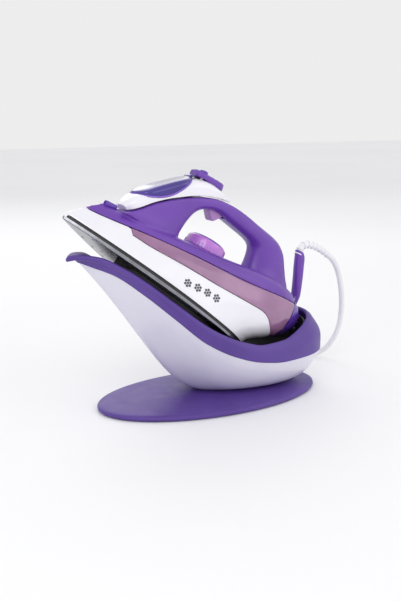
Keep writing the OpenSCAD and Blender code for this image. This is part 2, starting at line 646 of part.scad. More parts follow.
// ================= iron: steam trigger =================
trigger_x = 127 * kx;     // pivot of the trigger inside the grip's underside
trigger_z = grip_low + 3.4;
module trigger_slot() translate([trigger_x - 5, -trigger_w - 0.6, 84]) cube([26, 2 * trigger_w + 1.2, 25]);
module steam_trigger() {
    color(pink) iron_place() translate([trigger_x, 0, trigger_z]) rotate([90, 0, 0]) difference() {
        linear_extrude(2 * trigger_w, center = true) difference() {
            polygon([[-3, -4.5], [1, -7.5], [8, -13], [11, -13.2], [17, -4.4], [17, -1.6],
                [3, 3], [-2, 3], [-3, 1]]);
        }
        cylinder(r = trigger_pin_r + fit_gap, h = 60, center = true);
    }
}
trigger_pin_r = 1.2;
module trigger_pin() {
    color(steel) iron_place() translate([trigger_x, 0, trigger_z]) rotate([90, 0, 0])
        cylinder(r = trigger_pin_r, h = 2 * trigger_w + 5, center = true);
}

// ================= iron: temperature dial and thermostat =================
dial_lean = 3.3;
dial_x = 151 * kx;
dial_z = deck_top(dial_x) - 2;
module dial_axis() at_side(dial_x, dial_z, dial_lean) children();
module temperature_dial() {
    color(magenta) iron_place() dial_axis() difference() {
        rotate_extrude() polygon([[0, 0], [dial_r - 1, 0], [dial_r, 1], [dial_r - 0.6, 11.4], [dial_r - 2.4, 13],
            [dial_r - 6, 13.8], [0, 13.8]]);
        translate([0, 0, -1]) cylinder(r = dial_shaft_r, h = 8);
    }
}
shaft_end = -(dial_z - cast_top) / cos(dial_lean) + 14;
module dial_shaft() {
    color(steel) iron_place() dial_axis() translate([0, 0, shaft_end])
        cylinder(r = dial_shaft_r, h = 7 - shaft_end);
}
sleeve_r = dial_shaft_r + 2.4;
module shaft_sleeve() {
    low = shaft_end + 4;
    color(white) iron_place() dial_axis() difference() {
        translate([0, 0, low]) cylinder(r = sleeve_r, h = -low - 0.6);
        translate([0, 0, low - 1]) cylinder(r = dial_shaft_r + fit_gap, h = 100);
    }
}
thermostat_r = 11;
module thermostat() {
    color(brass) iron_place() dial_axis() difference() {
        translate([0, 0, shaft_end - 10]) cylinder(r = thermostat_r, h = 9);
        translate([0, 0, shaft_end - 6]) cylinder(r = dial_shaft_r + fit_gap, h = 20);
    }
}
module thermal_fuse() {
    color(white) iron_place() translate([213 * kx, 0, cast_top + 1.85]) rotate([0, 90, 0])
        cylinder(r = 1.8, h = 10);
}
valve_x = 104 * kx;
valve_r = 5;
module drip_valve() {
    color(brass) iron_place() translate([valve_x, 0, 0]) difference() {
        union() {
            translate([0, 0, cast_top + 0.1]) cylinder(r = valve_r, h = 7);
            translate([0, 0, cast_top]) cylinder(r = valve_r - 1.5, h = 16);
        }
        translate([0, 0, 5]) cylinder(r = 1.2, h = 60);
    }
}

// ================= iron: heel, cord guard =================
heel_levels = [29, 34, 41, 50, 60, 68, 74, 78, 83];
function heel_ring(z, t = 0) = ring(split_x + gap - (t > 0 ? 4 : 0), tail(z) - t,
    function(x) z, t);
module heel_cap() {
    color(deep_purple) iron_place() difference() {
        skin([for (z = heel_levels) heel_ring(z)]);
        skin([for (z = [36, 45, 55, 66, 72, 76, 80]) heel_ring(z, wall)]);
        translate([split_x, 0, pivot_z]) rotate([0, 90, 0]) cylinder(r = pivot_r + fit_gap, h = 60);
        heel_screw_places() translate([0, 0, -4]) cylinder(r = 1.6, h = 30);
    }
}
module heel_screw_places() for (s = [-1, 1])
    translate([tail(56) - 3.2, s * 16, 56]) rotate([0, 90, 0]) children();
module heel_screws() {
    color(steel) iron_place() heel_screw_places() translate([0, 0, 2.6]) screw(1.6, 12, 2.8, 1.4);
}
module terminal_block() {
    color(white) iron_place() translate([split_x + 4, -12, 46]) difference() {
        cube([14, 24, 16]);
        for (y = [5, 12, 19]) translate([-1, y, 8]) rotate([0, 90, 0]) cylinder(r = 2.2, h = 30);
    }
}
module cord_clamp() {
    color(steel) iron_place() translate([split_x + 3, -9, 67]) difference() {
        cube([9, 18, 2.4]);
        for (y = [3, 15]) translate([4.5, y, -1]) cylinder(r = 1.4, h = 5);
    }
}
pivot_z = 82;
pivot_r = 3.6;
pivot_x = 280 * kx;       // rear face of the heel cap at the pivot
module guard_pivot() {
    color(white) iron_place() translate([split_x + 0.5, 0, pivot_z]) rotate([0, 90, 0])
        cylinder(r = pivot_r, h = pivot_x - split_x + 1.7);
}
// arm: rises from a round knuckle behind the heel and leans forward to its slanted tip
module cord_guard() {
    arm = [[[283.5, 84], [290, 86], 7, 0], [[278, 94], [286.5, 96.5], 6.4, 0],
           [[270, 105], [280, 109], 5.6, 0], [[262, 116], [272.5, 121], 5.2, 0],
           [[255.5, 126], [266.8, 129.6], 5, 0], [[252.5, 130.8], [263, 133.2], 4.6, 0]];
    color(purple) iron_place() union() {
        translate([pivot_x + 2.2, 0, pivot_z]) rotate([0, 90, 0]) cylinder(r = 5, h = 7.5);
        skin([for (s = arm) arch_ring(s)]);
    }
}

// ================= cord =================
// boot: from the guard's tip round to the cord, in the dock's frame
boot = [[119.5, 0, 147.5], [120.2, 0, 151], [123.5, 0, 154.2], [130, 0, 155.2], [140, 0, 152.4],
    [150, 0, 147.6], [159, 0, 141.5]];
route = [[159.3, 0, 141.3], [165, 0, 137], [171, 1, 131], [178, 3, 121], [186, 7, 106],
    [194, 13, 87], [201, 21, 65], [206, 31, 44], [207, 42, 26], [204, 53, 12], [196, 61, 5],
    [183, 65, 3.5], [168, 66, 3.3], [153, 65, 3.3], [138, 63, 3.3], [124, 62, 3.5], [112, 63.5, 4]];
// lead: from the coil to the plug
lead = [[70, 117.2, 10.9], [70.6, 125, 11.6], [73.5, 133, 14.5], [79, 140, 19.5], [87, 145, 25.5],
    [96, 147.5, 30], [105, 148, 31.9], [112.2, 148, 32]];
function unit(v) = v / norm(v);
function tube(path, radii, n, ref) = [for (i = [0:len(path) - 1])
    let (d = unit(path[min(i + 1, len(path) - 1)] - path[max(i - 1, 0)]),
         side = unit(cross(ref, d)), up = cross(d, side))
    [for (j = [0:n - 1]) let (a = (j + 0.5) * 360 / n)
        path[i] + radii[min(i, len(radii) - 1)] * (cos(a) * side + sin(a) * up)]];
module sweep(path, radii, n, ref = [0.3, 1, 0.1]) {
    rings = tube(path, radii, n, ref);
    m = len(rings);
    walls = [for (k = [0:m - 2], j = [0:n - 1])
        let (a = k * n, b = a + n, q = (j + 1) % n) [a + j, b + j, b + q, a + q]];
    polyhedron([for (r = rings, p = r) p],
        concat(walls, [[for (j = [0:n - 1]) j]], [[for (j = [n - 1:-1:0]) (m - 1) * n + j]]));
}
// a route's points and one more halfway along each stretch, on a smooth curve
function smooth(p) = concat([for (i = [0:len(p) - 2], h = [0, 0.5])
    let (a = p[max(i - 1, 0)], b = p[i], c = p[i + 1], d = p[min(i + 2, len(p) - 1)])
    h == 0 ? b : (9 * (b + c) - a - d) / 16], [p[len(p) - 1]]);

module strain_relief() {
    path = smooth(boot);
    color(white) sweep(path, [for (i = [0:len(path)]) 4.9 - 0.1 * i], 12);
}
module cord_tube() {
    color(white) sweep(smooth(route), [cord_d / 2], 10);
}
coil_x = 118;
coil_y = 113;
coil_z = 0.9;
coil_in = coil_d / 2 - 1.5 * cord_d;
coil_out = coil_d / 2 + 1.5 * cord_d;
module cord_coil() {
    color(white) translate([coil_x, coil_y, coil_z])
        rotate_extrude() translate([coil_in, 0]) square([coil_out - coil_in, 2 * cord_d]);
}
// strap round the coil's turns on its far side
tie_t = 0.8;
tie_w = 12;
module coil_tie() {
    color(black) translate([coil_x, coil_y, 0]) difference() {
        translate([coil_in - tie_t - 1.6, -tie_w / 2, 0])
            cube([coil_out - coil_in + 2 * tie_t + 1.8, tie_w, coil_z + 2 * cord_d + tie_t + 0.1]);
        translate([coil_in - 1.5, -tie_w, coil_z - 0.05])
            cube([coil_out - coil_in + 1.6, 2 * tie_w, 2 * cord_d + 0.1]);
    }
}
plug_x = 112;
plug_y = 148;
plug_r = 18;
plug_z = coil_z + 2 * cord_d + plug_r + 0.1;
plug_len = 26;
module plug_place() translate([plug_x, plug_y, plug_z]) rotate([0, 90, 0]) children();
module plug_body() {
    color(white) plug_place() rotate_extrude() polygon([[0, 0.3], [6, 0.3], [8, 2], [9, 7],
        [plug_r - 1.5, 10], [plug_r, 12], [plug_r, plug_len], [0, plug_len]]);
}
module plug_pins() {
    color(brass) plug_place() for (s = [-1, 1]) translate([0, s * pin_gap / 2, plug_len])
        cylinder(r = pin_r, h = 19);
}
module plug_lead() {
    color(white) sweep(smooth(lead), [cord_d / 2], 10, [0, 0, 1]);
}

base_mat();
base_plate();
base_weight();
base_screws();
hull_shell();
dock_rim();
rest_tray();
rest_pad();
tray_screws();
sole_plate();
heater_casting();
heating_element();
chamber_cover();
heat_shield();
sole_screws();
skirt();
water_tank();
tank_lid();
shaft_sleeve();
drip_valve();
thermostat();
thermal_fuse();
upper_body();
handle();
top_cover();
button_panel();
fill_neck();
spray_nozzle();
pump_barrels();
pump_springs();
heel_cap();
heel_screws();
terminal_block();
cord_clamp();
door_pin();
trigger_pin();
temperature_dial();
dial_shaft();
spray_button();
spray_piston();
steam_button();
steam_piston();
steam_trigger();
fill_door();
cord_guard();
guard_pivot();
strain_relief();
cord_tube();
cord_coil();
coil_tie();
plug_lead();
plug_body();
plug_pins();
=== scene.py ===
import json
import math
import bpy
import bmesh
import numpy as np
from mathutils import Matrix, Vector

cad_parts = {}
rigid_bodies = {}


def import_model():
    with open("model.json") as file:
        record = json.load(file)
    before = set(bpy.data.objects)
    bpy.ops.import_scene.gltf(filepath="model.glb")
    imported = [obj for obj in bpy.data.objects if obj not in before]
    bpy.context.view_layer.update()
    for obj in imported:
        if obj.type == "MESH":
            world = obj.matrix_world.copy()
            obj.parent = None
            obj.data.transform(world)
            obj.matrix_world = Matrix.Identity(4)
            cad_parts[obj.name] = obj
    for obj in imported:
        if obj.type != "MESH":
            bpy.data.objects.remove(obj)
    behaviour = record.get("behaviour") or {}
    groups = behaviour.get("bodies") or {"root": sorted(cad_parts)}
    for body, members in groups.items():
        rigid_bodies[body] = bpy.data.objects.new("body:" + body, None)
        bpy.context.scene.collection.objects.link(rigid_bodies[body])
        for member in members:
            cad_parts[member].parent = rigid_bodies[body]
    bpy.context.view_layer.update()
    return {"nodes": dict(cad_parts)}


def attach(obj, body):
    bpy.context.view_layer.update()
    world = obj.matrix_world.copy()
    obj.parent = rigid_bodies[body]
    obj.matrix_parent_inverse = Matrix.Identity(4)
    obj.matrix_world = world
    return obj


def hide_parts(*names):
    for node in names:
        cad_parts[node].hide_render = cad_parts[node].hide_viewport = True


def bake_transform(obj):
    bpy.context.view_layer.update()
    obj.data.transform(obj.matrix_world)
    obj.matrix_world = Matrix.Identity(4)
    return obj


for leftover in list(bpy.data.objects):
    bpy.data.objects.remove(leftover)
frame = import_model()
made = {}  # finished pieces by name

# camera, floor and light
look = {"position": (-0.5153, -0.8127, 0.3052), "target": (-0.0117, 0.0, 0.1061), "lens": 55.19}
cameraData = bpy.data.cameras.new("camera")
cameraData.lens = look["lens"]
camera = bpy.data.objects.new("camera", cameraData)
bpy.context.scene.collection.objects.link(camera)
camera.location = look["position"]
sight = Vector(look["target"]) - Vector(look["position"])
camera.rotation_euler = sight.to_track_quat("-Z", "Y").to_euler()
bpy.context.scene.camera = camera

lamps = {  # place in metres, size in metres, power in watts
    "keyLight": ((-1.1, -1.3, 1.5), 1.3, 9),
    "fillLight": ((1.3, -1.4, 0.8), 1.4, 3.5),
    "backLight": ((0.4, 1.4, 1.3), 1.4, 5),
}
for name, (spot, size, power) in lamps.items():
    data = bpy.data.lights.new(name, "AREA")
    data.shape, data.size, data.energy = "DISK", size, power
    lamp = bpy.data.objects.new(name, data)
    bpy.context.scene.collection.objects.link(lamp)
    lamp.location = spot
    lamp.rotation_euler = (Vector((0, 0, 0.1)) - Vector(spot)).to_track_quat("-Z", "Y").to_euler()
world = bpy.data.worlds.new("studio")
bpy.context.scene.world = world
world.use_nodes = True
world.node_tree.nodes["Background"].inputs["Color"].default_value = (1, 1, 1, 1)
world.node_tree.nodes["Background"].inputs["Strength"].default_value = 0.85
bpy.context.scene.view_settings.view_transform = "Standard"


# materials
def linear(code):  # an sRGB hex colour as linear values
    parts = [int(code[i:i + 2], 16) / 255 for i in (1, 3, 5)]
    return [c / 12.92 if c <= 0.04045 else ((c + 0.055) / 1.055) ** 2.4 for c in parts] + [1.0]


def addNode(tree, kind, settings=None, links=None):  # one node with its settings and links
    node = tree.nodes.new(kind)
    for key, value in (settings or {}).items():
        if isinstance(key, int) or key in node.inputs:
            node.inputs[key].default_value = value
        else:
            setattr(node, key, value)
    for key, source in (links or {}).items():
        tree.links.new(source, node.inputs[key])
    return node


# A surface of two near colours in soft clouds, a fine grain in its bump and a roughness that drifts.
# grain, cloud and wipe are sizes in millimetres: the moulded texture, the clouds and the wiping smears.
def surface(name, colours, rough, grain=0.5, relief=0.12, cloud=60, shader=None, stretch=None, wipe=14):
    material = bpy.data.materials.new(name)
    material.use_nodes = True
    tree = material.node_tree
    body = tree.nodes["Principled BSDF"]
    place = addNode(tree, "ShaderNodeTexCoord").outputs["Object"]
    if stretch:
        place = addNode(tree, "ShaderNodeMapping", {"Scale": stretch}, {"Vector": place}).outputs["Vector"]
    clouds = addNode(tree, "ShaderNodeTexNoise", {"Scale": 1000 / cloud, "Detail": 2.0}, {"Vector": place})
    ramp = addNode(tree, "ShaderNodeValToRGB", links={"Fac": clouds.outputs["Fac"]})
    for stop, position, colour in zip(ramp.color_ramp.elements, (0.35, 0.65), colours):
        stop.position = position
        stop.color = linear(colour)
    tree.links.new(ramp.outputs["Color"], body.inputs["Base Color"])
    smudge = addNode(tree, "ShaderNodeTexNoise", {"Scale": 1000 / wipe, "Detail": 3.0}, {"Vector": place})
    spread = addNode(tree, "ShaderNodeMapRange", {"From Min": 0.3, "From Max": 0.7, "To Min": rough[0],
                     "To Max": rough[1]}, {"Value": smudge.outputs["Fac"]})
    tree.links.new(spread.outputs["Result"], body.inputs["Roughness"])
    fine = addNode(tree, "ShaderNodeTexNoise", {"Scale": 1000 / grain, "Detail": 2.0}, {"Vector": place})
    bump = addNode(tree, "ShaderNodeBump", {"Strength": relief, "Distance": 0.0002},
                   {"Height": fine.outputs["Fac"]})
    tree.links.new(bump.outputs["Normal"], body.inputs["Normal"])
    for socket, value in (shader or {}).items():
        body.inputs[socket].default_value = value
    return material


# satin moulded ABS: an even purple with a soft wide highlight and a spark-eroded grain
satinPurple = surface("satinPurpleAbs", ("#64379f", "#6d3eaa"), (0.30, 0.38), 0.6, 0.10,
                      shader={"IOR": 1.5, "Coat Weight": 0.15, "Coat Roughness": 0.3})
# the same plastic on the dock, a little greyer and duller
dockPurple = surface("satinVioletAbs", ("#503489", "#583b93"), (0.38, 0.48), 0.7, 0.14, shader={"IOR": 1.5})
# polished ABS with a clear lacquer: almost black where it mirrors nothing, deep violet where light enters
polishedViolet = surface("polishedVioletAbs", ("#2c0f78", "#35128c"), (0.10, 0.16), 1.2, 0.02,
                         shader={"IOR": 1.5, "Coat Weight": 1.0, "Coat Roughness": 0.04})
# painted highlight: a thin soft line of light lilac round the fill door's edge, paler than the satin purple
# ABS that the edge is made of
lilacHighlightTrim = surface("satinLilacPaintedHighlight", ("#8a63cf", "#956fd8"), (0.25, 0.32), 0.6, 0.08, shader={"IOR": 1.5})
# darker satin ABS of heel, buttons and nozzle: reads as a shadowed violet
deepViolet = surface("satinDeepVioletAbs", ("#54319b", "#5d39a6"), (0.25, 0.34), 0.6, 0.10,
                     shader={"IOR": 1.5, "Coat Weight": 0.3, "Coat Roughness": 0.15})
# glossy white ABS of the hull, painted greyer and a hair more lavender than the skirt's white: painted shade
shadedHullWhite = surface("glossWhitePaintedShadeAbs", ("#d9d6e6", "#e0ddea"), (0.20, 0.27), 0.8, 0.05,
                    shader={"IOR": 1.5, "Coat Weight": 0.3, "Coat Roughness": 0.12})
# the skirt's brighter, glossier white ABS: crisp highlights along its long edges
skirtWhite = surface("glossBrightWhiteAbs", ("#e9e7ef", "#efedf4"), (0.14, 0.20), 0.9, 0.04,
                     shader={"IOR": 1.5, "Coat Weight": 0.5, "Coat Roughness": 0.08})
# tinted SAN of the water tank: light goes a few millimetres in and comes back pink
tintedTank = surface("tintedPinkSan", ("#94688f", "#a4779e"), (0.10, 0.16), 1.5, 0.03, cloud=35,
                     shader={"IOR": 1.57, "Subsurface Weight": 0.35, "Subsurface Scale": 0.004,
                             "Subsurface Radius": (1.0, 0.6, 0.9), "Coat Weight": 0.6,
                             "Coat Roughness": 0.06})
# tinted acrylic of the dial: bright orchid, glassy
dialTint = surface("tintedOrchidAcrylic", ("#b873d2", "#c380da"), (0.10, 0.16), 1.2, 0.03, cloud=30,
                   shader={"IOR": 1.49, "Subsurface Weight": 0.4, "Subsurface Scale": 0.003,
                           "Coat Weight": 0.8, "Coat Roughness": 0.05})
# satin ABS of the trigger: a dusty pink with a faint glow at thin edges
triggerPink = surface("satinPinkAbs", ("#ad80bd", "#b789c6"), (0.25, 0.33), 0.6, 0.08,
                      shader={"IOR": 1.5, "Subsurface Weight": 0.15, "Subsurface Scale": 0.002})
# glass-filled phenolic of the heat shield and the tray: matt black, faintly fibrous
phenolic = surface("mattBlackPhenolic", ("#17161a", "#1f1e23"), (0.50, 0.62), 0.8, 0.25, shader={"IOR": 1.6})
# moulded rubber of mat and strap: dull black, almost no highlight
rubberBlack = surface("mouldedBlackRubber", ("#151515", "#1c1c1c"), (0.75, 0.85), 0.7, 0.35,
                      shader={"IOR": 1.52})
# hard-coated aluminium of the sole: a bright grey mirror with long fine polishing lines along it
soleCoat = surface("polishedCoatedAluminium", ("#8b8c92", "#9a9ba1"), (0.20, 0.30), 0.5, 0.10, cloud=40,
                   shader={"Metallic": 1.0}, stretch=(1, 14, 1))
# sand-cast aluminium of the heater: grainy pale grey metal
castAluminium = surface("sandCastAluminium", ("#8f9194", "#9c9ea1"), (0.45, 0.6), 0.9, 0.5,
                        shader={"Metallic": 1.0})
# zinc-plated steel of screws, pins and springs: cool bright grey
platedSteel = surface("zincPlatedSteel", ("#a9abae", "#bcbec2"), (0.22, 0.34), 0.4, 0.1,
                      shader={"Metallic": 1.0})
# bare cast iron of the base weight: dark and rough
castIron = surface("bareCastIron", ("#3a3a3d", "#47474a"), (0.55, 0.7), 1.2, 0.6, shader={"Metallic": 1.0})
# turned brass of plug pins, thermostat and valve: warm yellow with fine rings from the lathe
turnedBrass = surface("turnedBrass", ("#b9923f", "#caa552"), (0.2, 0.3), 0.4, 0.12, shader={"Metallic": 1.0},
                      stretch=(1, 1, 12))
# moulded nylon of sleeves and pumps: milky white, a little light let in
nylonWhite = surface("mouldedWhiteNylon", ("#e2e1df", "#ebeae8"), (0.4, 0.5), 0.8, 0.1,
                     shader={"IOR": 1.53, "Subsurface Weight": 0.2, "Subsurface Scale": 0.002})
# glazed steatite of the terminal block: cream ceramic with a dull gloss
steatite = surface("glazedSteatite", ("#dcd8ce", "#e6e2d8"), (0.3, 0.45), 1.0, 0.15, shader={"IOR": 1.6})
# soft PVC of cord, relief and plug: clean white, a slight sheen
cordWhite = surface("softWhitePvc", ("#e4e3e8", "#eeedf1"), (0.38, 0.46), 0.9, 0.08,
                    shader={"IOR": 1.53, "Sheen Weight": 0.15})
# pad-printed ink of the skirt's marks: flat dark grey
printInk = surface("greyPadPrint", ("#4a4a55", "#565662"), (0.5, 0.6), 0.5, 0.1, shader={"IOR": 1.5})
# matt painted studio floor: pale and even
floorPaint = surface("paleStudioFloor", ("#f4f4f6", "#f7f7f9"), (0.6, 0.7), 4, 0.02, cloud=900)
print("materials ready")


# shapes: everything is drawn in millimetres
def hermite(t, a, leaveA, b, reachB):  # share t of the way from a to b, with a slope given at each end
    return ((2 * t ** 3 - 3 * t ** 2 + 1) * a + (t ** 3 - 2 * t ** 2 + t) * leaveA
            + (3 * t ** 2 - 2 * t ** 3) * b + (t ** 3 - t ** 2) * reachB)


def through(points):  # a smooth curve through (x, value) points that never overshoots them
    xs, ys = [p[0] for p in points], [p[1] for p in points]
    steps = [(ys[i + 1] - ys[i]) / (xs[i + 1] - xs[i]) for i in range(len(xs) - 1)]
    slopes = [steps[0]]
    for a, b in zip(steps, steps[1:]):
        slopes.append(0 if a * b <= 0 else 2 * a * b / (a + b))
    slopes.append(steps[-1])

    def value(x):
        if x <= xs[0]:
            return ys[0]
        if x >= xs[-1]:
            return ys[-1]
        i = max(k for k in range(len(xs) - 1) if xs[k] <= x)
        h = xs[i + 1] - xs[i]
        return hermite((x - xs[i]) / h, ys[i], h * slopes[i], ys[i + 1], h * slopes[i + 1])
    return value


def straight(points):  # straight lines from point to point
    return lambda x: float(np.interp(x, [p[0] for p in points], [p[1] for p in points]))


def stations(count, extra=()):  # places from 0 to 1, closer together at both ends
    return sorted(set([(1 - math.cos(math.pi * i / count)) / 2 for i in range(count + 1)] + list(extra)))


def mirrored(side):  # one side from front to back, then the other side back again
    side = np.array(side, float)
    return np.concatenate([side, side[::-1] * (1, -1, 1)])


def smoothRings(rings, per=4, closed=False, sharp=()):  # more rings on a smooth line through the given ones
    count = len(rings)
    pick = (lambda i: rings[i % count]) if closed else (lambda i: rings[min(max(i, 0), count - 1)])
    result = []
    for k in range(count if closed else count - 1):
        a, b = pick(k), pick(k + 1)
        before, after = pick(k - 1), pick(k + 2)
        gap = np.linalg.norm(b - a, axis=1).mean()
        gapBefore = np.linalg.norm(a - before, axis=1).mean()
        gapAfter = np.linalg.norm(after - b, axis=1).mean()
        tangentA = (b - before) / (gap + gapBefore) * gap if k not in sharp and gapBefore > 0 else b - a
        tangentB = (after - a) / (gap + gapAfter) * gap if k + 1 not in sharp and gapAfter > 0 else b - a
        result += [hermite(j / per, a, tangentA, b, tangentB) for j in range(per)]
    return result if closed else result + [rings[-1]]


def outward(verts, faces):  # turns all faces round if they enclose a negative volume
    volume = 0.0
    for f in faces:
        for i in range(1, len(f) - 1):
            volume += float(np.dot(verts[f[0]], np.cross(verts[f[i]], verts[f[i + 1]])))
    return faces if volume > 0 else [tuple(reversed(f)) for f in faces]


def loft(rings, closed=False):  # skin over rings, with strips across both ends unless it closes on itself
    verts = np.concatenate(rings)
    n, m = len(rings[0]), len(rings)
    faces = []
    for k in range(m if closed else m - 1):
        a, b = k * n, ((k + 1) % m) * n
        faces += [(a + j, a + (j + 1) % n, b + (j + 1) % n, b + j) for j in range(n)]
    if not closed:
        last = (m - 1) * n
        for j in range(n // 2 - 1):
            faces.append((j, n - 1 - j, n - 2 - j, j + 1)[::-1])
            faces.append(tuple(last + i for i in (j, n - 1 - j, n - 2 - j, j + 1)))
    return verts, outward(verts, faces)


def lathe(profile, sides=96):  # solid turned about z; the profile starts and ends on the axis
    verts, rows = [], []
    for r, z in profile:
        if r < 1e-6:
            rows.append([len(verts)] * sides)
            verts.append((0, 0, z))
        else:
            rows.append([len(verts) + j for j in range(sides)])
            verts += [(r * math.cos(2 * math.pi * j / sides), r * math.sin(2 * math.pi * j / sides), z)
                      for j in range(sides)]
    faces = []
    for a, b in zip(rows, rows[1:]):
        for j in range(sides):
            loop = [a[j], a[(j + 1) % sides], b[(j + 1) % sides], b[j]]
            loop = [v for i, v in enumerate(loop) if v not in loop[:i]]
            if len(loop) > 2:
                faces.append(tuple(loop))
    verts = np.array(verts, float)
    return verts, outward(verts, faces)


def rounded(points, radius, count=4):  # a profile whose inner corners are rounded
    result = [points[0]]
    for a, b, c in zip(points, points[1:], points[2:]):
        a, b, c = (np.array(p, float) for p in (a, b, c))
        u, v = (a - b) / np.linalg.norm(a - b), (c - b) / np.linalg.norm(c - b)
        r = min(radius, 0.45 * np.linalg.norm(a - b), 0.45 * np.linalg.norm(c - b))
        for i in range(count + 1):
            t = i / count
            result.append(tuple((1 - t) ** 2 * (b + u * r) + 2 * t * (1 - t) * b + t ** 2 * (b + v * r)))
    return result + [points[-1]]


def tube(path, radii, sides=20):  # a closed round tube along a path, its rings carried without twist
    path = np.array(path, float)
    heads = np.gradient(path, axis=0)
    heads /= np.linalg.norm(heads, axis=1)[:, None]
    side = np.cross(heads[0], (0.1, 1.0, 0.2))
    rings = []
    for p, d, r in zip(path, heads, radii):
        side = side - d * np.dot(side, d)
        side /= np.linalg.norm(side)
        up = np.cross(d, side)
        rings.append([p + r * (math.cos(a) * side + math.sin(a) * up)
                      for a in (2 * math.pi * (j + 0.5) / sides for j in range(sides))])
    n, m = sides, len(rings)
    verts = np.concatenate([np.array(r) for r in rings])
    faces = [(k * n + j, k * n + (j + 1) % n, (k + 1) * n + (j + 1) % n, (k + 1) * n + j)
             for k in range(m - 1) for j in range(n)]
    faces += [tuple(range(n))[::-1], tuple((m - 1) * n + j for j in range(n))]
    return verts, outward(verts, faces)


def piece(name, shape, material, place=None, crease=40):  # shape in millimetres, place a matrix in them
    verts, faces = shape if place is None else moved(shape, place)
    mesh = bpy.data.meshes.new(name)
    mesh.from_pydata((verts * 0.001).tolist(), [], faces)
    mesh.validate()
    return finishPiece(name, mesh, material, crease)


def finishPiece(name, mesh, material, crease=40):  # crease in degrees: sharper edges stay hard
    mesh.shade_smooth()
    mesh.set_sharp_from_angle(angle=math.radians(crease))
    mesh.materials.clear()
    mesh.materials.append(material)
    result = bpy.data.objects.new(name, mesh)
    bpy.context.scene.collection.objects.link(result)
    made[name] = result
    return result


def turned(place, degrees, axis="Y"):  # a place with a turn about one axis
    return Matrix.Translation(place) @ Matrix.Rotation(math.radians(degrees), 4, axis)


def together(*shapes):  # several shapes as one
    verts, faces, start = [], [], 0
    for v, f in shapes:
        verts.append(np.array(v, float))
        faces += [tuple(i + start for i in face) for face in f]
        start += len(v)
    return np.concatenate(verts), faces


def moved(shape, place):  # a shape put where a matrix says
    verts, faces = shape
    return np.array(verts) @ np.array(place.to_3x3()).T + np.array(place.translation), faces


def settle(name, source, material, crease=40, place=None):  # the evaluated object as a plain new piece
    bpy.context.view_layer.update()
    graph = bpy.context.evaluated_depsgraph_get()
    mesh = bpy.data.meshes.new_from_object(source.evaluated_get(graph))
    bpy.data.objects.remove(source)
    made.pop(name, None)
    mesh.name = name
    if place is not None:
        mesh.transform(place)
    return finishPiece(name, mesh, material, crease)


def carve(name, target, cutters, material, crease=40):  # cuts closed shapes out of a piece
    tools = [piece("cutter", c, material) for c in cutters]
    for tool in tools:
        cut = target.modifiers.new("cut", "BOOLEAN")
        cut.operation, cut.object, cut.solver = "DIFFERENCE", tool, "EXACT"
    result = settle(name, target, material, crease)
    for tool in tools:
        bpy.data.objects.remove(tool)
    made.pop("cutter", None)
    return result


def fuse(name, shape, voxel, rounds, material):  # melts overlapping closed shapes into one soft skin
    target = piece(name, shape, material)
    melt = target.modifiers.new("melt", "REMESH")
    melt.mode, melt.voxel_size, melt.adaptivity = "VOXEL", voxel * 0.001, 0.0
    relax = target.modifiers.new("relax", "SMOOTH")
    relax.factor, relax.iterations = 0.5, rounds
    return settle(name, target, material, 60)


def prism(outline, halfWidth, bevel):  # outline in the side view, widened across y, with soft edges
    work = bmesh.new()
    a = [work.verts.new((x, -halfWidth, z)) for x, z in outline]
    b = [work.verts.new((x, halfWidth, z)) for x, z in outline]
    n = len(outline)
    work.faces.new(a)
    work.faces.new(b[::-1])
    for i in range(n):
        work.faces.new((a[i], b[i], b[(i + 1) % n], a[(i + 1) % n]))
    bmesh.ops.recalc_face_normals(work, faces=work.faces)
    bmesh.ops.bevel(work, geom=work.edges[:], offset=bevel, segments=3, affect="EDGES", profile=0.5,
                    clamp_overlap=True)
    work.verts.index_update()
    verts = np.array([v.co[:] for v in work.verts])
    faces = [tuple(v.index for v in f.verts) for f in work.faces]
    work.free()
    return verts, outward(verts, faces)


# geometry node trees
def newTree(name, inputs):  # a tree with a geometry input and output and named inputs for its sizes
    tree = bpy.data.node_groups.new(name, "GeometryNodeTree")
    tree.interface.new_socket("Geometry", in_out="INPUT", socket_type="NodeSocketGeometry")
    for label, kind, value in inputs:
        socket = tree.interface.new_socket(label, in_out="INPUT", socket_type="NodeSocket" + kind)
        if value is not None:
            socket.default_value = value
    tree.interface.new_socket("Geometry", in_out="OUTPUT", socket_type="NodeSocketGeometry")
    return tree, addNode(tree, "NodeGroupInput").outputs


def endTree(tree, source, material):  # what every tree here ends with
    solid = addNode(tree, "GeometryNodeRealizeInstances", links={"Geometry": source})
    painted = addNode(tree, "GeometryNodeSetMaterial",
                      links={"Geometry": solid.outputs[0], "Material": material})
    addNode(tree, "NodeGroupOutput", links={"Geometry": painted.outputs[0]})


def grow(name, tree, start, values, material, crease=40, place=None):  # runs a tree on an object
    modifier = start.modifiers.new(tree.name, "NODES")
    modifier.node_group = tree
    for item in tree.interface.items_tree:
        if item.item_type == "SOCKET" and item.in_out == "INPUT" and item.name in values:
            modifier[item.identifier] = values[item.name]
    return settle(name, start, material, crease, place)


def pointSet(name, points, facings, place=None):  # bare points in metres, each with the way that it faces
    mesh = bpy.data.meshes.new(name)
    points = np.array(points, float)
    facings = np.array(facings, float)
    if place is not None:
        turn = np.array(place.to_3x3())
        points, facings = points @ turn.T + np.array(place.translation), facings @ turn.T
    mesh.from_pydata((points * 0.001).tolist(), [], [])
    facing = mesh.attributes.new("facing", "FLOAT_VECTOR", "POINT")
    facing.data.foreach_set("vector", facings.ravel())
    result = bpy.data.objects.new(name, mesh)
    bpy.context.scene.collection.objects.link(result)
    return result


def facingTurn(tree):  # the turn that points an instance the way its point faces
    way = addNode(tree, "GeometryNodeInputNamedAttribute", {"data_type": "FLOAT_VECTOR", "Name": "facing"})
    turn = addNode(tree, "FunctionNodeAlignRotationToVector", {"axis": "Z"}, {"Vector": way.outputs[0]})
    return turn.outputs[0]


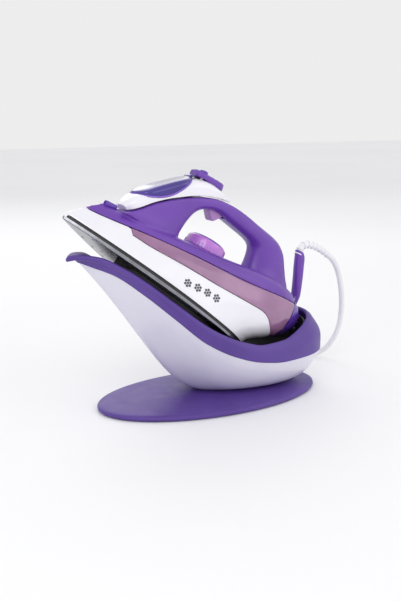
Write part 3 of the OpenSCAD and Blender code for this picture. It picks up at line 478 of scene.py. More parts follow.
def bumpTree():  # low round grip bumps on points
    tree, given = newTree("gripBumps", [("radius", "Float", 0.001), ("height", "Float", 0.0005),
                                        ("material", "Material", None)])
    ball = addNode(tree, "GeometryNodeMeshIcoSphere", {"Subdivisions": 3}, {"Radius": given["radius"]})
    ratio = addNode(tree, "ShaderNodeMath", {"operation": "DIVIDE"}, {0: given["height"], 1: given["radius"]})
    scale = addNode(tree, "ShaderNodeCombineXYZ", {"X": 1.0, "Y": 1.0}, {"Z": ratio.outputs[0]})
    spots = addNode(tree, "GeometryNodeInstanceOnPoints", links={
        "Points": given["Geometry"], "Instance": ball.outputs["Mesh"], "Rotation": facingTurn(tree),
        "Scale": scale.outputs[0]})
    endTree(tree, spots.outputs[0], given["material"])
    return tree


def rosetteTree():  # a flat printed mark: a ring of petals round a dot
    tree, given = newTree("printedRosettes", [("radius", "Float", 0.0035), ("petals", "Int", 6),
                                              ("thickness", "Float", 0.0003), ("material", "Material", None)])
    circle = addNode(tree, "GeometryNodeMeshCircle",
                     links={"Vertices": given["petals"], "Radius": given["radius"]})
    petalRadius = addNode(tree, "ShaderNodeMath", {"operation": "MULTIPLY", 1: 0.42}, {0: given["radius"]})
    petal = addNode(tree, "GeometryNodeMeshCylinder", {"Vertices": 14},
                    {"Radius": petalRadius.outputs[0], "Depth": given["thickness"]})
    petals = addNode(tree, "GeometryNodeInstanceOnPoints", links={
        "Points": circle.outputs["Mesh"], "Instance": petal.outputs["Mesh"]})
    dot = addNode(tree, "GeometryNodeMeshCylinder", {"Vertices": 16},
                  {"Radius": petalRadius.outputs[0], "Depth": given["thickness"]})
    flower = addNode(tree, "GeometryNodeJoinGeometry")
    tree.links.new(petals.outputs[0], flower.inputs[0])
    tree.links.new(dot.outputs["Mesh"], flower.inputs[0])
    whole = addNode(tree, "GeometryNodeRealizeInstances", links={"Geometry": flower.outputs[0]})
    marks = addNode(tree, "GeometryNodeInstanceOnPoints", links={
        "Points": given["Geometry"], "Instance": whole.outputs[0], "Rotation": facingTurn(tree)})
    endTree(tree, marks.outputs[0], given["material"])
    return tree


def punchTree():  # round holes through a plate at the points of another object
    tree, given = newTree("punchedHoles", [("places", "Object", None), ("radius", "Float", 0.0015),
                                           ("depth", "Float", 0.02), ("material", "Material", None)])
    spots = addNode(tree, "GeometryNodeObjectInfo", links={"Object": given["places"]})
    drill = addNode(tree, "GeometryNodeMeshCylinder", {"Vertices": 24},
                    {"Radius": given["radius"], "Depth": given["depth"]})
    drills = addNode(tree, "GeometryNodeInstanceOnPoints", links={
        "Points": spots.outputs["Geometry"], "Instance": drill.outputs["Mesh"], "Rotation": facingTurn(tree)})
    tools = addNode(tree, "GeometryNodeRealizeInstances", links={"Geometry": drills.outputs[0]})
    cut = addNode(tree, "GeometryNodeMeshBoolean", {"operation": "DIFFERENCE"},
                  {0: given["Geometry"], 1: tools.outputs[0]})
    endTree(tree, cut.outputs["Mesh"], given["material"])
    return tree


def ridgeTree():  # upright ridges round a dial, each standing on a circle
    tree, given = newTree("dialRidges", [("count", "Int", 40), ("circle", "Float", 0.022),
                                         ("width", "Float", 0.001), ("height", "Float", 0.005),
                                         ("lift", "Float", 0.004), ("material", "Material", None)])
    circle = addNode(tree, "GeometryNodeMeshCircle",
                     links={"Vertices": given["count"], "Radius": given["circle"]})
    raised = addNode(tree, "ShaderNodeCombineXYZ", links={"Z": given["lift"]})
    seats = addNode(tree, "GeometryNodeTransform", links={"Geometry": circle.outputs["Mesh"],
                                                          "Translation": raised.outputs[0]})
    bar = addNode(tree, "GeometryNodeMeshCylinder", {"Vertices": 10},
                  {"Radius": given["width"], "Depth": given["height"]})
    bars = addNode(tree, "GeometryNodeInstanceOnPoints", links={
        "Points": seats.outputs[0], "Instance": bar.outputs["Mesh"]})
    endTree(tree, bars.outputs[0], given["material"])
    return tree


def reliefTree():  # a boot on a path: a slim core with round ribs that get smaller towards the cord
    tree, given = newTree("ribbedBoot", [("coreRadius", "Float", 0.0037), ("ribRadius", "Float", 0.005),
                                         ("ribWidth", "Float", 0.0013), ("spacing", "Float", 0.006),
                                         ("taper", "Float", 0.03), ("material", "Material", None)])
    line = addNode(tree, "GeometryNodeMeshToCurve", links={"Mesh": given["Geometry"]})
    ring = addNode(tree, "GeometryNodeCurvePrimitiveCircle", {"Resolution": 24},
                   {"Radius": given["coreRadius"]})
    core = addNode(tree, "GeometryNodeCurveToMesh", {"Fill Caps": True},
                   {"Curve": line.outputs[0], "Profile Curve": ring.outputs[0]})
    seats = addNode(tree, "GeometryNodeCurveToPoints", {"mode": "LENGTH"},
                    {"Curve": line.outputs[0], "Length": given["spacing"]})
    rib = addNode(tree, "GeometryNodeMeshCylinder", {"Vertices": 28},
                  {"Radius": given["ribRadius"], "Depth": given["ribWidth"]})
    order = addNode(tree, "GeometryNodeInputIndex")
    less = addNode(tree, "ShaderNodeMath", {"operation": "MULTIPLY"},
                   {0: order.outputs[0], 1: given["taper"]})
    size = addNode(tree, "ShaderNodeMath", {"operation": "SUBTRACT", 0: 1.0}, {1: less.outputs[0]})
    scale = addNode(tree, "ShaderNodeCombineXYZ", {"Z": 1.0}, {"X": size.outputs[0], "Y": size.outputs[0]})
    ribs = addNode(tree, "GeometryNodeInstanceOnPoints", links={
        "Points": seats.outputs["Points"], "Instance": rib.outputs["Mesh"],
        "Rotation": seats.outputs["Rotation"], "Scale": scale.outputs[0]})
    boot = addNode(tree, "GeometryNodeJoinGeometry")
    tree.links.new(core.outputs[0], boot.inputs[0])
    tree.links.new(ribs.outputs[0], boot.inputs[0])
    endTree(tree, boot.outputs[0], given["material"])
    return tree


# cord, coil and plug: the route runs free to the floor, the lead climbs from the coil to the plug
cord = {"diameter": 6.5, "coilCentre": (118, 113), "coilLow": 4.15, "coilHigh": 10.85, "coilStart": -96.9,
        "coilRadii": (49.86, 28.4, 48.2),
        "route": [(159.3, 0, 141.3), (165, 0, 137), (171, 1, 131), (178, 3, 121), (186, 7, 106),
                  (194, 13, 87), (201, 21, 65), (206, 31, 44), (207, 42, 26), (204, 53, 12), (196, 61, 5),
                  (183, 65, 3.5), (168, 66, 3.3), (153, 65, 3.3), (138, 63, 3.3), (124, 62, 3.5)],
        "lead": [(70.6, 125, 11.6), (73.5, 133, 14.5), (79, 140, 19.5), (87, 145, 25.5), (96, 147.5, 30),
                 (105, 148, 31.9), (112.2, 148, 32)]}


def coilPoints():  # three turns in on the floor, up one layer, three turns out
    cx, cy = cord["coilCentre"]
    start, low, high = cord["coilStart"], cord["coilLow"], cord["coilHigh"]
    outer, inner, last = cord["coilRadii"]
    landing = 4.0  # height at which the route hands over to the coil
    parts = [  # steps, first angle and turn in degrees, radius and height at share t of the way
        (108, start, 1080, lambda t: outer + (inner - outer) * t,
         lambda t: landing + (low - landing) * min(1, 6 * t)),
        (12, start, 90, lambda t: inner, lambda t: low + (high - low) * (1 - math.cos(math.pi * t)) / 2),
        (108, start - 90, 1078, lambda t: inner + (last - inner) * t, lambda t: high)]
    points = []
    for steps, first, turn, radius, height in parts:
        for t in ((i + 1) / steps for i in range(steps)):
            angle = math.radians(first - turn * t)
            points.append((cx + radius(t) * math.cos(angle), cy + radius(t) * math.sin(angle), height(t)))
    return points


def smoothLine(points, per):  # more points on a smooth curve through the given ones
    rings = [np.array([p], float) for p in points]
    return [r[0] for r in smoothRings(rings, per)]


cordPath = (smoothLine(cord["route"] + [(112, 63.5, 4)], 4) + coilPoints()
            + smoothLine([(70, 117.2, 10.9)] + cord["lead"], 4)[1:])
cordPiece = piece("mainsCord", tube(cordPath, [cord["diameter"] / 2] * len(cordPath), 16), cordWhite)

plug = {"radius": 18, "length": 26, "rear": (112, 148, 32), "pinRadius": 2.4, "pinGap": 19, "pinLength": 19}
plugPlace = turned(plug["rear"], 90)
r, n = plug["radius"], plug["length"]
pinR, pinLong = plug["pinRadius"], plug["pinLength"]
plugShape = lathe(rounded([(0, 0.3), (5.2, 0.3), (6.2, 1.5), (6.6, 7), (9.5, 9.5), (r - 1.5, 10.5), (r, 13),
                           (r, 16.5), (r - 0.7, 17), (r - 0.7, 18), (r, 18.5), (r, 20), (r - 0.7, 20.5),
                           (r - 0.7, 21.5), (r, 22), (r, n), (0, n)], 0.5, 3))
plugPiece = piece("mainsPlug", plugShape, cordWhite, plugPlace)
pinShape = lathe([(0, 0), (pinR, 0), (pinR, pinLong - 1.6), (pinR - 0.3, pinLong - 0.5), (pinR / 2, pinLong),
                  (0, pinLong)], 32)
pinsPiece = piece("plugPins", together(*[moved(pinShape, Matrix.Translation((0, s * plug["pinGap"] / 2, n)))
                                         for s in (-1, 1)]), turnedBrass, plugPlace)

# outlines shared by the iron's housings, x back from the sole's tip and z up from its face
iron = {"tip": (-164, 0, 206.7), "rest": 38.8, "split": 266, "tankFront": 57.6, "wall": 2.4, "gap": 0.3}
ironPlace = turned(iron["tip"], iron["rest"])

nose = through([(0, 0), (5, 3), (10, 7), (18, 13), (34, 26), (45, 44), (85, 70)])
tail = through([(0, 240), (9, 244), (19, 258), (32, 276), (45, 290), (58, 296), (68, 295), (75, 287),
                (78, 279), (90, 276)])
halfWidth = through([(0, 57), (9, 55.5), (20, 54), (30, 52.5), (45, 49), (60, 44), (75, 39), (90, 34)])
skirtTop = straight([(13, 17.4), (26, 19.4), (41, 22.6), (56.6, 26.4), (60, 20.8), (77, 21.1), (90, 22.4),
                     (121, 26.3), (158, 30.2), (199, 36.5), (217, 39.2), (223, 39.7), (228, 39.3),
                     (234, 37.7), (240, 34.8), (247, 31.2), (254, 28.3), (262, 24), (268, 20)])
tankRise = straight([(246, 0), (248, 19), (255, 20.5), (266, 29)])
purpleLow = through([(13, 17.7), (26, 19.7), (41, 22.9), (57, 26.8), (86, 33.6), (116, 40.1), (151, 46.6),
                     (190, 54.2), (217, 61.2), (245, 68.5), (266, 73)])
deckTop = through([(13, 19.5), (27, 33), (46, 38), (80, 44), (112, 51), (160, 62), (200, 73), (240, 82),
                   (266, 84.5)])


def tankLow(x):  # lower edge of the tank
    return max(skirtTop(x), tankRise(x))


def plan(t, peak=0.66, power=0.9, back=2.6):  # share of the full width at share t of the length
    if t <= 0 or t >= 1:
        return 0.0
    if t < peak:
        return math.sin(math.pi / 2 * t / peak) ** power
    return (1 - ((t - peak) / (1 - peak)) ** back) ** (1 / back)


def sideY(x, z, inset=0.0):  # how far the iron's side is from its middle plane
    a, b = nose(z) + 2.2 * inset, tail(z) - inset
    return max(0.7 - 0.03 * inset, (halfWidth(z) - inset) * plan((x - a) / (b - a)))


def bodyRing(x0, x1, height, inset=0.0, places=None):  # the iron's outline where a height curve cuts it
    side = []
    for u in places or stations(56):
        x = x0 + u * (x1 - x0)
        z = height(x)
        side.append((x, -sideY(x, z, inset), z))
    return mirrored(side)


def level(z, inset=0.0):  # the same at one height
    return bodyRing(nose(z) + 2.2 * inset, tail(z) - inset, lambda x: z, inset)


def section(low, high, width, flatTop=0.0, flatLow=0.0, count=56):  # a soft oval across the iron
    ring = []
    for j in range(count):
        angle = math.radians(-90 + (j + 0.5) * 360 / count)
        s, c = math.sin(angle), math.cos(angle)
        if s > 0:
            h = 0.94 * min(1, s * (1 + 3 * flatTop)) + 0.06 * s
        else:
            h = -0.94 * min(1, -s * (1 + 3 * flatLow)) + 0.06 * s
        x, z = ((a + b) / 2 + (b - a) / 2 * h for a, b in zip(low, high))
        ring.append((x, width * math.copysign(abs(c) ** 0.7, c), z))
    return np.array(ring)


# sole, shield, skirt, tank
sole = {"low": -4.6, "thick": 3.2, "edge": 0.9, "holeRadius": 1.5, "spacing": 19}
soleTop = sole["low"] + sole["thick"]
soleStart = piece("solePlate", loft([level(0, inset) + (0, 0, sole["low"] + rise) for rise, inset in (
    (0, 1.2), (0.35, 0.5), (sole["edge"], 0.05), (sole["thick"], 0))]), soleCoat, ironPlace)
holes, drillHeight = [], soleTop - 2
for i in range(8):  # a row along each edge
    x = 34 + sole["spacing"] * i
    y = sideY(x, 0) - 9
    holes += [(x, s * y, drillHeight) for s in ((-1, 1) if y > 6 else (0,))]
for i in range(4):  # and a shorter row inside it
    x = 60 + 24 * i
    holes += [(x, s * sideY(x, 0) * 0.38, drillHeight) for s in (-1, 1)]
holePoints = pointSet("holePoints", holes, [(0, 0, 1)] * len(holes), ironPlace)
grow("solePlate", punchTree(), soleStart,
     {"places": holePoints, "radius": sole["holeRadius"] * 0.001, "depth": 0.012,
      "material": soleCoat}, soleCoat, 30)
bpy.data.objects.remove(holePoints)

shieldTop = 1.7
shieldRings = [level(z, inset) for z, inset in (
    (soleTop + 0.1, 1.4), (shieldTop - 0.4, 1.2), (shieldTop, 1.6), (shieldTop + 0.2, 6), (18, 6.2),
    (19, 7.5))]
piece("heatShield", loft(shieldRings), phenolic, ironPlace, 30)

skirtFront, skirtLength = 12, 251.5
# rings of points come closer together where the tank starts
skirtPlaces = stations(64, [(x - skirtFront) / skirtLength for x in (56.6, 58, 60)])
skirtFoot = shieldTop + iron["gap"]
skirtEnd = through([(0, skirtFoot), (0.5, 15), (1, 23)])  # height at which its rear end meets the outline


def skirtRing(t, inset, frontInset):  # share t of the way from the lower edge to the upper
    return bodyRing(nose(skirtFoot + 15 * t) + frontInset, tail(skirtEnd(t)) - inset,
                    lambda x: skirtFoot * (1 - t) + (skirtTop(x) - iron["gap"]) * t, inset, skirtPlaces)


skirtOuter = [skirtRing(t, edge, edge) for t, edge in (
    (0, 0.35), (0.06, 0), (0.2, 0), (0.4, 0), (0.6, 0), (0.8, 0), (0.97, 0), (1, 0.35))]
skirtInner = [skirtRing(t, iron["wall"], 2.2 * iron["wall"]) for t in (1, 0.5, 0)]
piece("whiteSkirt", loft(skirtOuter + skirtInner, closed=True), skirtWhite, ironPlace, 35)

tankPlaces = stations(60, [0.905, 0.915, 0.925, 0.935])


def tankHigh(x):  # upper edge of the tank
    return purpleLow(x) - iron["gap"]


def tankUnder(x):  # underside of its hidden part
    return min(tankHigh(x) - 1, max(22, tankLow(x) + 1))


x0, x1 = iron["tankFront"], iron["split"] - iron["gap"]
tankRings = [bodyRing(x0 + 22, x1 - 12, tankUnder, 12, tankPlaces),
             bodyRing(x0 + 8, x1 - 3, tankUnder, 4, tankPlaces)]
for t, inset in ((0, 0.9), (0.03, 0.35), (0.1, 0.1), (0.3, 0), (0.6, 0), (0.9, 0.1), (0.97, 0.35), (1, 0.9)):
    tankRings.append(bodyRing(x0, x1 - 2 * (1 - t),
                              lambda x, t=t: (tankLow(x) + 0.4) * (1 - t) + tankHigh(x) * t,
                              inset, tankPlaces))
tankRings.append(bodyRing(x0 + 8, x1 - 8, tankHigh, 9, tankPlaces))
piece("waterTank", loft(tankRings), tintedTank, ironPlace, 35)
print("sole, skirt and tank ready")

# four round printed marks on each side of the skirt
marks = {"places": [(126, 12.8), (138, 15.2), (150, 17.2), (162, 18.4)], "radius": 3.1, "petals": 6,
         "thickness": 0.6}
spots, facings = [], []
for side in (-1, 1):
    for x, z in marks["places"]:
        here, ahead, above = (np.array((a, side * sideY(a, b), b))
                              for a, b in ((x, z), (x + 1, z), (x, z + 1)))
        out = np.cross(above - here, ahead - here) * side
        spots.append(here)
        facings.append(out / np.linalg.norm(out))
grow("printedMarks", rosetteTree(), pointSet("markPoints", spots, facings, ironPlace),
     {"radius": marks["radius"] * 0.001, "petals": marks["petals"],
      "thickness": marks["thickness"] * 0.001, "material": printInk}, printInk)

# purple shell: deck and handle in one skin
grip = {"middle": 109, "height": 19, "halfWidth": 15.5}
gripLow, gripTop = grip["middle"] - grip["height"] / 2, grip["middle"] + grip["height"] / 2
gripW = grip["halfWidth"]
# the arch from its front foot over the grip to its rear foot: under edge, upper edge, half width, flatness
arch = [((115, 46), (42, 34), 19, 1), ((114, 51.6), (48.5, 39.5), 19, 1), ((112.5, 56), (56.5, 49), 18, 1),
        ((112, 62), (64.5, 60), 17.4, 1), ((112, 72), (75.5, 72.2), 17, 1), ((113.5, 82), (86, 82), 16.6, 1),
        ((118, 90), (97, 91.4), 16.4, 1), ((126, 96), (109.5, 100.4), 16.2, 1),
        ((137, gripLow), (124, 108.6), gripW, 1), ((152, gripLow + 0.3), (146, gripTop - 3.4), gripW, 0.6),
        ((170, gripLow + 0.8), (168, gripTop - 0.8), gripW, 0.2),
        ((188, gripLow + 1), (196, gripTop + 2), gripW, 0),
        ((196, gripLow - 1), (221, gripTop + 2), gripW, 0), ((199, 95), (236, 114.5), gripW + 0.2, 0),
        ((201.5, 89), (248, 103), gripW + 0.8, 0), ((203.5, 82), (258, 93), gripW + 2, 0),
        ((205, 76), (264.6, 86.2), gripW + 4.5, 0), ((206, 68), (264.5, 76), gripW + 5, 0)]
archShape = loft(smoothRings([section(*s) for s in arch], 5))
x0, x1 = nose(18), iron["split"]
deckRings = [bodyRing(x0, x1, purpleLow),
             bodyRing(x0 + 0.5, x1, lambda x: purpleLow(x) * 0.4 + deckTop(x) * 0.6, 0.8),
             bodyRing(x0 + 6, x1, lambda x: deckTop(x) - min(1.6, 0.15 * (deckTop(x) - purpleLow(x))), 5),
             bodyRing(x0 + 14, x1, deckTop, 12)]
dial = {"x": 151, "z": 57.94, "lean": 3.3, "radius": 23, "ridges": 44, "cup": 2.6, "room": 0.6}
dialOnIron = turned((dial["x"], 0, dial["z"]), -dial["lean"])
dialR, cup = dial["radius"], dial["cup"]
dialCup = moved(lathe([(0, -cup), (dialR + cup, -cup), (dialR + cup, 0), (0, 0)]), dialOnIron)
shellStart = together(loft(smoothRings(deckRings, 4)), archShape, dialCup)
shell = fuse("purpleShell", moved(shellStart, ironPlace), 1.25, 6, satinPurple)
print("shell", len(shell.data.polygons), "faces")

trigger = {"x": 127, "z": gripLow + 3.4, "halfWidth": 6.5}
slotBox = prism([(trigger["x"] - 5, 84), (trigger["x"] + 21, 84), (trigger["x"] + 21, 109),
                 (trigger["x"] - 5, 109)], trigger["halfWidth"] + 0.6, 0.1)
roomR = dialR + dial["room"]
dialRoom = moved(lathe([(0, -0.4), (roomR, -0.4), (roomR, 24), (0, 24)]), ironPlace @ dialOnIron)
carve("purpleShell", shell, [moved(slotBox, ironPlace), dialRoom], satinPurple, 60)

# cover, fill door, button panel and buttons
# the cover from its front end back over the grip: where its lower and upper edges are, half width
cover = [((47.5, 39.4), (41.5, 42), 10), ((51.5, 44), (43, 50), 14.5), ((56.3, 50), (46, 58), 16),
         ((64, 60.8), (55, 67.5), 16.6), ((75, 73.1), (65.5, 80.5), 16.8), ((85.7, 83), (77, 93.5), 16.8),
         ((96.7, 92.4), (88, 107.5), 16.8), ((109, 101.4), (99, 115), 16.6), ((117, 106), (111, 118.6), 16.2),
         ((127, 111), (125.5, 119.4), 14.5), ((141, 115.9), (140.5, 119), 10)]
coverRings = [section((a[0] - 0.25, a[1] + 0.3), b, w, 0, 1, 64) for a, b, w in cover]
coverStart = piece("topCover", loft(smoothRings(coverRings, 5)), skirtWhite, ironPlace)

door = {"foot": (46, 58), "slope": 50, "length": 66, "halfWidth": 17, "depth": 9.2, "hinge": 67.5}
doorPlace = ironPlace @ turned((door["foot"][0], 0, door["foot"][1]), -door["slope"])
hingeLine = turned((door["hinge"], 0, 0.5), 90, "X")


def doorHalf(u):  # its half width at share u of the way from its tip to its hinge
    end = (1 - ((u - 0.8) / 0.2) ** 2 * 0.75) ** 0.5 if u > 0.8 else 1
    return door["halfWidth"] * math.sin(math.pi / 2 * min(1, u / 0.2)) ** 0.5 * end


def doorRing(n, wider, lift=0.0):  # its outline at height n, bowed up by lift in the middle
    return mirrored([(door["length"] * u, -max(0.4, doorHalf(u) + wider), n + lift * math.sin(math.pi * u))
                     for u in stations(36)])


panel = {"place": (97, 0, 118.6), "slope": 16, "start": -7, "length": 38, "halfWidth": 11.5}
button = {"x": 1.5, "aside": 5.6, "radius": 4.8, "room": 0.25}
buttonR = button["radius"]
panelPlace = ironPlace @ turned(panel["place"], -panel["slope"])
panelHalf = through([(0, 0.55), (0.08, 0.9), (0.2, 1), (0.5, 0.86), (0.9, 0.6), (1, 0.35)])


def panelRing(n0, n1, wider):  # its outline, at height n0 in front and n1 behind
    return mirrored([(panel["start"] + panel["length"] * u, -(panel["halfWidth"] * panelHalf(u) + wider),
                      n0 + (n1 - n0) * u) for u in stations(30)])


pocket = moved(loft([doorRing(-1, 0.3, -door["depth"]), doorRing(20, 0.3)]), doorPlace)
panelPocket = moved(loft([panelRing(-2.6, -6.7, -0.8), panelRing(20, 20, 0.2)]), panelPlace)
hingeRoom = moved(lathe([(0, -6.6), (3.6, -6.6), (3.6, 6.6), (0, 6.6)], 40), doorPlace @ hingeLine)
carve("topCover", coverStart, [pocket, panelPocket, hingeRoom], skirtWhite, 40)

deep = door["depth"]
# a lip along the door's lower edge, coloured light lilac as a painted highlight
highlightTrimRings = [doorRing(n, wider, -deep)
             for n, wider in ((-0.6, -1.5), (-0.55, -0.3), (-0.3, 0), (0.9, 0.05), (1.0, -1.5))]
piece("doorTrim", loft(highlightTrimRings), lilacHighlightTrim, doorPlace, 35)
doorTop = smoothRings([doorRing(0.8, -1, -deep), doorRing(1, -0.05, -deep), doorRing(0.6, -0.1, -deep * 0.55),
                       doorRing(0.6, -0.5, -deep * 0.2), doorRing(1.0, -2, 0.4), doorRing(1.8, -4.5, 0.8),
                       doorRing(2.25, -8, 1)], 4, sharp=(1,))
knuckle = moved(lathe(rounded([(0, -6), (3, -6), (3, 6), (0, 6)], 0.5), 48), hingeLine)
strap = prism([(60, -1), (door["hinge"], -1), (door["hinge"], 2), (60, 2)], 6, 0.4)
piece("fillDoor", together(loft(doorTop), knuckle, strap), polishedViolet, doorPlace, 35)

panelSkin = smoothRings([panelRing(-2.4, -6.5, -1), panelRing(-1.6, -5.4, -0.3), panelRing(-0.6, -4, 0),
                         panelRing(1.4, -0.8, -0.2), panelRing(2.5, 0.5, -0.9), panelRing(3.2, 1.2, -2.2),
                         panelRing(3.4, 1.4, -3.4)], 3)
panelStart = piece("buttonPanel", loft(panelSkin), satinPurple, panelPlace)
buttonPlaces = [panelPlace @ Matrix.Translation((button["x"], side * button["aside"], 0)) for side in (-1, 1)]
holeR = buttonR + button["room"]
buttonHole = lathe([(0, -12), (holeR, -12), (holeR, 20), (0, 20)], 64)
buttonHoles = [moved(buttonHole, place) for place in buttonPlaces]
carve("buttonPanel", panelStart, buttonHoles, satinPurple, 35)
bumps, ways = [], []  # grip bumps in staggered rows, clear of the panel's edge
for i in range(8):
    for j in range(-2, 3):
        x, y = 9 + 2.5 * i, 2.6 * j + (1.3 if i % 2 else 0)
        u = (x - panel["start"]) / panel["length"]
        if abs(y) < panel["halfWidth"] * panelHalf(u) - 3.6:
            bumps.append((x, y, 3.4 - 2 * u))
            ways.append((0.05, 0, 1))
grow("gripBumps", bumpTree(), pointSet("bumpPoints", bumps, ways, panelPlace),
     {"radius": 0.0009, "height": 0.0006, "material": satinPurple}, satinPurple)

buttonProfile = [(0, -1.4), (buttonR, -1.4), (buttonR, 4.2), (buttonR - 1.2, 5.4), (0, 5.1)]
for name, place in zip(("sprayButton", "steamButton"), buttonPlaces):
    piece(name, lathe(rounded(buttonProfile, 0.6, 4), 64), deepViolet, place, 35)

nozzlePlace = ironPlace @ turned((40.5, 0, 36.3), -101.6)
nozzleProfile = [(0, 0), (3, 0), (3, 12), (2.6, 13.3), (2.1, 13.3), (1.9, 11.8), (0.8, 11.8),
                 (0.8, 9), (0, 9)]
piece("sprayNozzle", lathe(rounded(nozzleProfile, 0.3), 48), deepViolet, nozzlePlace, 35)
print("top controls ready")

# dial and trigger
dialPlace = ironPlace @ dialOnIron
dialProfile = [(0, 0), (dialR - 1, 0), (dialR, 0.8), (dialR - 0.3, 6), (dialR - 0.8, 11), (dialR - 3, 12.6),
               (dialR - 8, 12.9), (0, 12.9)]
piece("temperatureDial", lathe(rounded(dialProfile, 1.2, 4), 128), dialTint, dialPlace, 35)
capProfile = [(0, 12), (dialR - 3.4, 12.2), (dialR - 3.2, 12.9), (dialR - 5, 13.9),
              (dialR - 12, 14.2), (0, 14.2)]
piece("dialCap", lathe(rounded(capProfile, 0.4, 3), 96), deepViolet, dialPlace, 35)
anchor = pointSet("ridgeAnchor", [(0, 0, 0)], [(0, 0, 1)])
dialPlaceMetres = Matrix.Translation(Vector(dialPlace.translation) * 0.001) @ dialPlace.to_3x3().to_4x4()
grow("dialRidges", ridgeTree(), anchor,
     {"count": dial["ridges"], "circle": (dialR - 0.5) * 0.001, "width": 0.0007,
      "height": 0.0042, "lift": 0.0032, "material": dialTint}, dialTint, 40, dialPlaceMetres)

tx, tz = trigger["x"], trigger["z"]
triggerOutline = [(tx + x, tz + z) for x, z in (
    (-3, -4.5), (1, -7.5), (8, -13), (11, -13.2), (17, -4.4), (17, -1.6), (3, 3), (-2, 3), (-3, 1))]
piece("steamTrigger", prism(triggerOutline, trigger["halfWidth"], 1.0), triggerPink, ironPlace, 30)

# heel cap, cord guard and strain relief
heelLevels = [(29, 0.8)] + [(z, 0) for z in (29.8, 34, 41, 50, 60, 68, 74, 78, 82)] + [(83, 0.9)]
heelRings = [bodyRing(iron["split"] + iron["gap"], tail(z) - inset, lambda x, z=z: z, inset, stations(40))
             for z, inset in heelLevels]
piece("heelCap", loft(heelRings), deepViolet, ironPlace, 35)
guard = [((283.5, 82), (290, 84), 6.6), ((281.5, 89), (288.6, 91), 6.8), ((278, 94), (286.5, 96.5), 6.4),
         ((270, 105), (280, 109), 5.6), ((262, 116), (272.5, 121), 5.2), ((255.5, 126), (266.8, 129.6), 5),
         ((252.5, 130.8), (262, 133), 4.4)]  # front edge, rear edge and half width, going up
knob = moved(lathe(rounded([(0, 282.2), (5, 282.2), (5, 289.7), (0, 289.7)], 1), 48), turned((0, 0, 82), 90))
piece("cordGuard", together(loft(smoothRings([section(*s) for s in guard], 5)), knob),
      satinPurple, ironPlace, 50)
relief = {"path": [(118, 0, 145), (119.5, 0, 147.5), (120.2, 0, 151), (123.5, 0, 154.2), (130, 0, 155.2),
                   (140, 0, 152.4), (150, 0, 147.6), (159, 0, 141.5)],
          "core": 3.5, "rib": 4.8, "spacing": 5.6}
reliefPoints = smoothLine(relief["path"], 6)
reliefLine = bpy.data.meshes.new("reliefLine")
reliefLine.from_pydata([tuple(np.array(p) * 0.001) for p in reliefPoints],
                       [(i, i + 1) for i in range(len(reliefPoints) - 1)], [])
reliefStart = bpy.data.objects.new("reliefLine", reliefLine)
bpy.context.scene.collection.objects.link(reliefStart)
strainRelief = grow("strainRelief", reliefTree(), reliefStart,
                    {"coreRadius": relief["core"] * 0.001, "ribRadius": relief["rib"] * 0.001,
                     "ribWidth": 0.0012, "spacing": relief["spacing"] * 0.001, "taper": 0.02,
                     "material": cordWhite}, cordWhite)
print("iron ready")

# dock: base, hull, rim, tray
base = {"length": 260, "width": 146, "edge": 6, "top": 9.6}


def oval(u):  # half width of an oval one wide, at share u of its length
    return math.sqrt(max(0, u * (1 - u)))


def baseRing(k, z):  # the base's outline, k times its full size
    return mirrored([(k * base["length"] * (u - 0.5), -max(0.3, k * base["width"] * oval(u)), z)
                     for u in stations(72)])


edge = base["edge"]
baseRings = [baseRing(k, z) for k, z in (
    (0.93, 0.8), (0.985, 0.8), (1, 2), (1, edge - 1.6), (0.985, edge - 0.3), (0.95, edge + 0.5),
    (0.7, edge + 2.2), (0.35, base["top"]))]
piece("leafBase", loft(smoothRings(baseRings, 3, sharp=(1,))), dockPurple, None, 35)

dock = {"rimHalf": 63, "lip": 5, "hull": (-150, 135), "foot": (-12, 58), "footHalf": 18, "wall": 2.4}
rimLow = through([(-152, 159), (-124, 147), (-97, 126), (-68, 100), (-38, 74), (-6, 57), (26, 47), (59, 43),
                  (100, 43), (146, 44)])
rimTop = through([(-165, 165), (-155, 168), (-139, 166), (-116, 154), (-98, 141), (-69, 117), (-39, 93),
                  (-19, 81), (2, 72), (30, 65), (57, 66), (80, 73), (105, 82), (123, 87)])
bulgeLow = straight([(0, 0.78), (0.25, 0.72), (0.6, 0.6), (1, 0.42)])
bulgeHigh = straight([(0, 1), (0.25, 0.8), (0.6, 0.6), (1, 0.42)])


def dockPlan(t):  # the iron's plan with a fuller nose
    return plan(t, 0.6, 0.72, 2.5)


def hullRing(v, t=0.0):  # share v of the way from foot to rim, t inside the outer face
    side = []
    floorLevel = base["top"] + 0.05 + t
    footFront, footBack = dock["foot"][0] + 2 * t, dock["foot"][1] - t
    rimFront, rimBack = dock["hull"][0] + 2.5 * t, dock["hull"][1] - 1.2 * t
    for u in stations(72):
        power = bulgeLow(u) * (1 - v) + bulgeHigh(u) * v
        outShare, upShare = v ** power, v ** (1 / power)
        footX, footY = footFront + u * (footBack - footFront), (dock["footHalf"] - t) * 2 * oval(u)
        rimX, rimY = rimFront + u * (rimBack - rimFront), (dock["rimHalf"] - 1.5 - t) * dockPlan(u)
        side.append((footX + outShare * (rimX - footX), -max(0.5, footY + outShare * (rimY - footY)),
                     floorLevel + upShare * (rimLow(rimX) - floorLevel - 0.3)))
    return mirrored(side)


hullSteps = [0, 0.01, 0.03, 0.06, 0.1, 0.15, 0.2, 0.27, 0.34, 0.42, 0.5, 0.58, 0.66, 0.74, 0.82, 0.9, 0.96, 1]
hullInside = [hullRing(v, dock["wall"]) for v in (1, 0.82, 0.62, 0.4, 0.2, 0.06, 0)]
# the hull's white carries painted shade: greyer and more lavender than the skirt's white
piece("dockHull", loft([hullRing(v) for v in hullSteps] + hullInside), shadedHullWhite, None, 40)


def rimRing(x0, x1, width, height):  # the dock's outline along a height curve
    side = []
    for u in stations(84):
        x = x0 + u * (x1 - x0)
        side.append((x, -max(0.5, width * dockPlan(u)), height(x)))
    return mirrored(side)


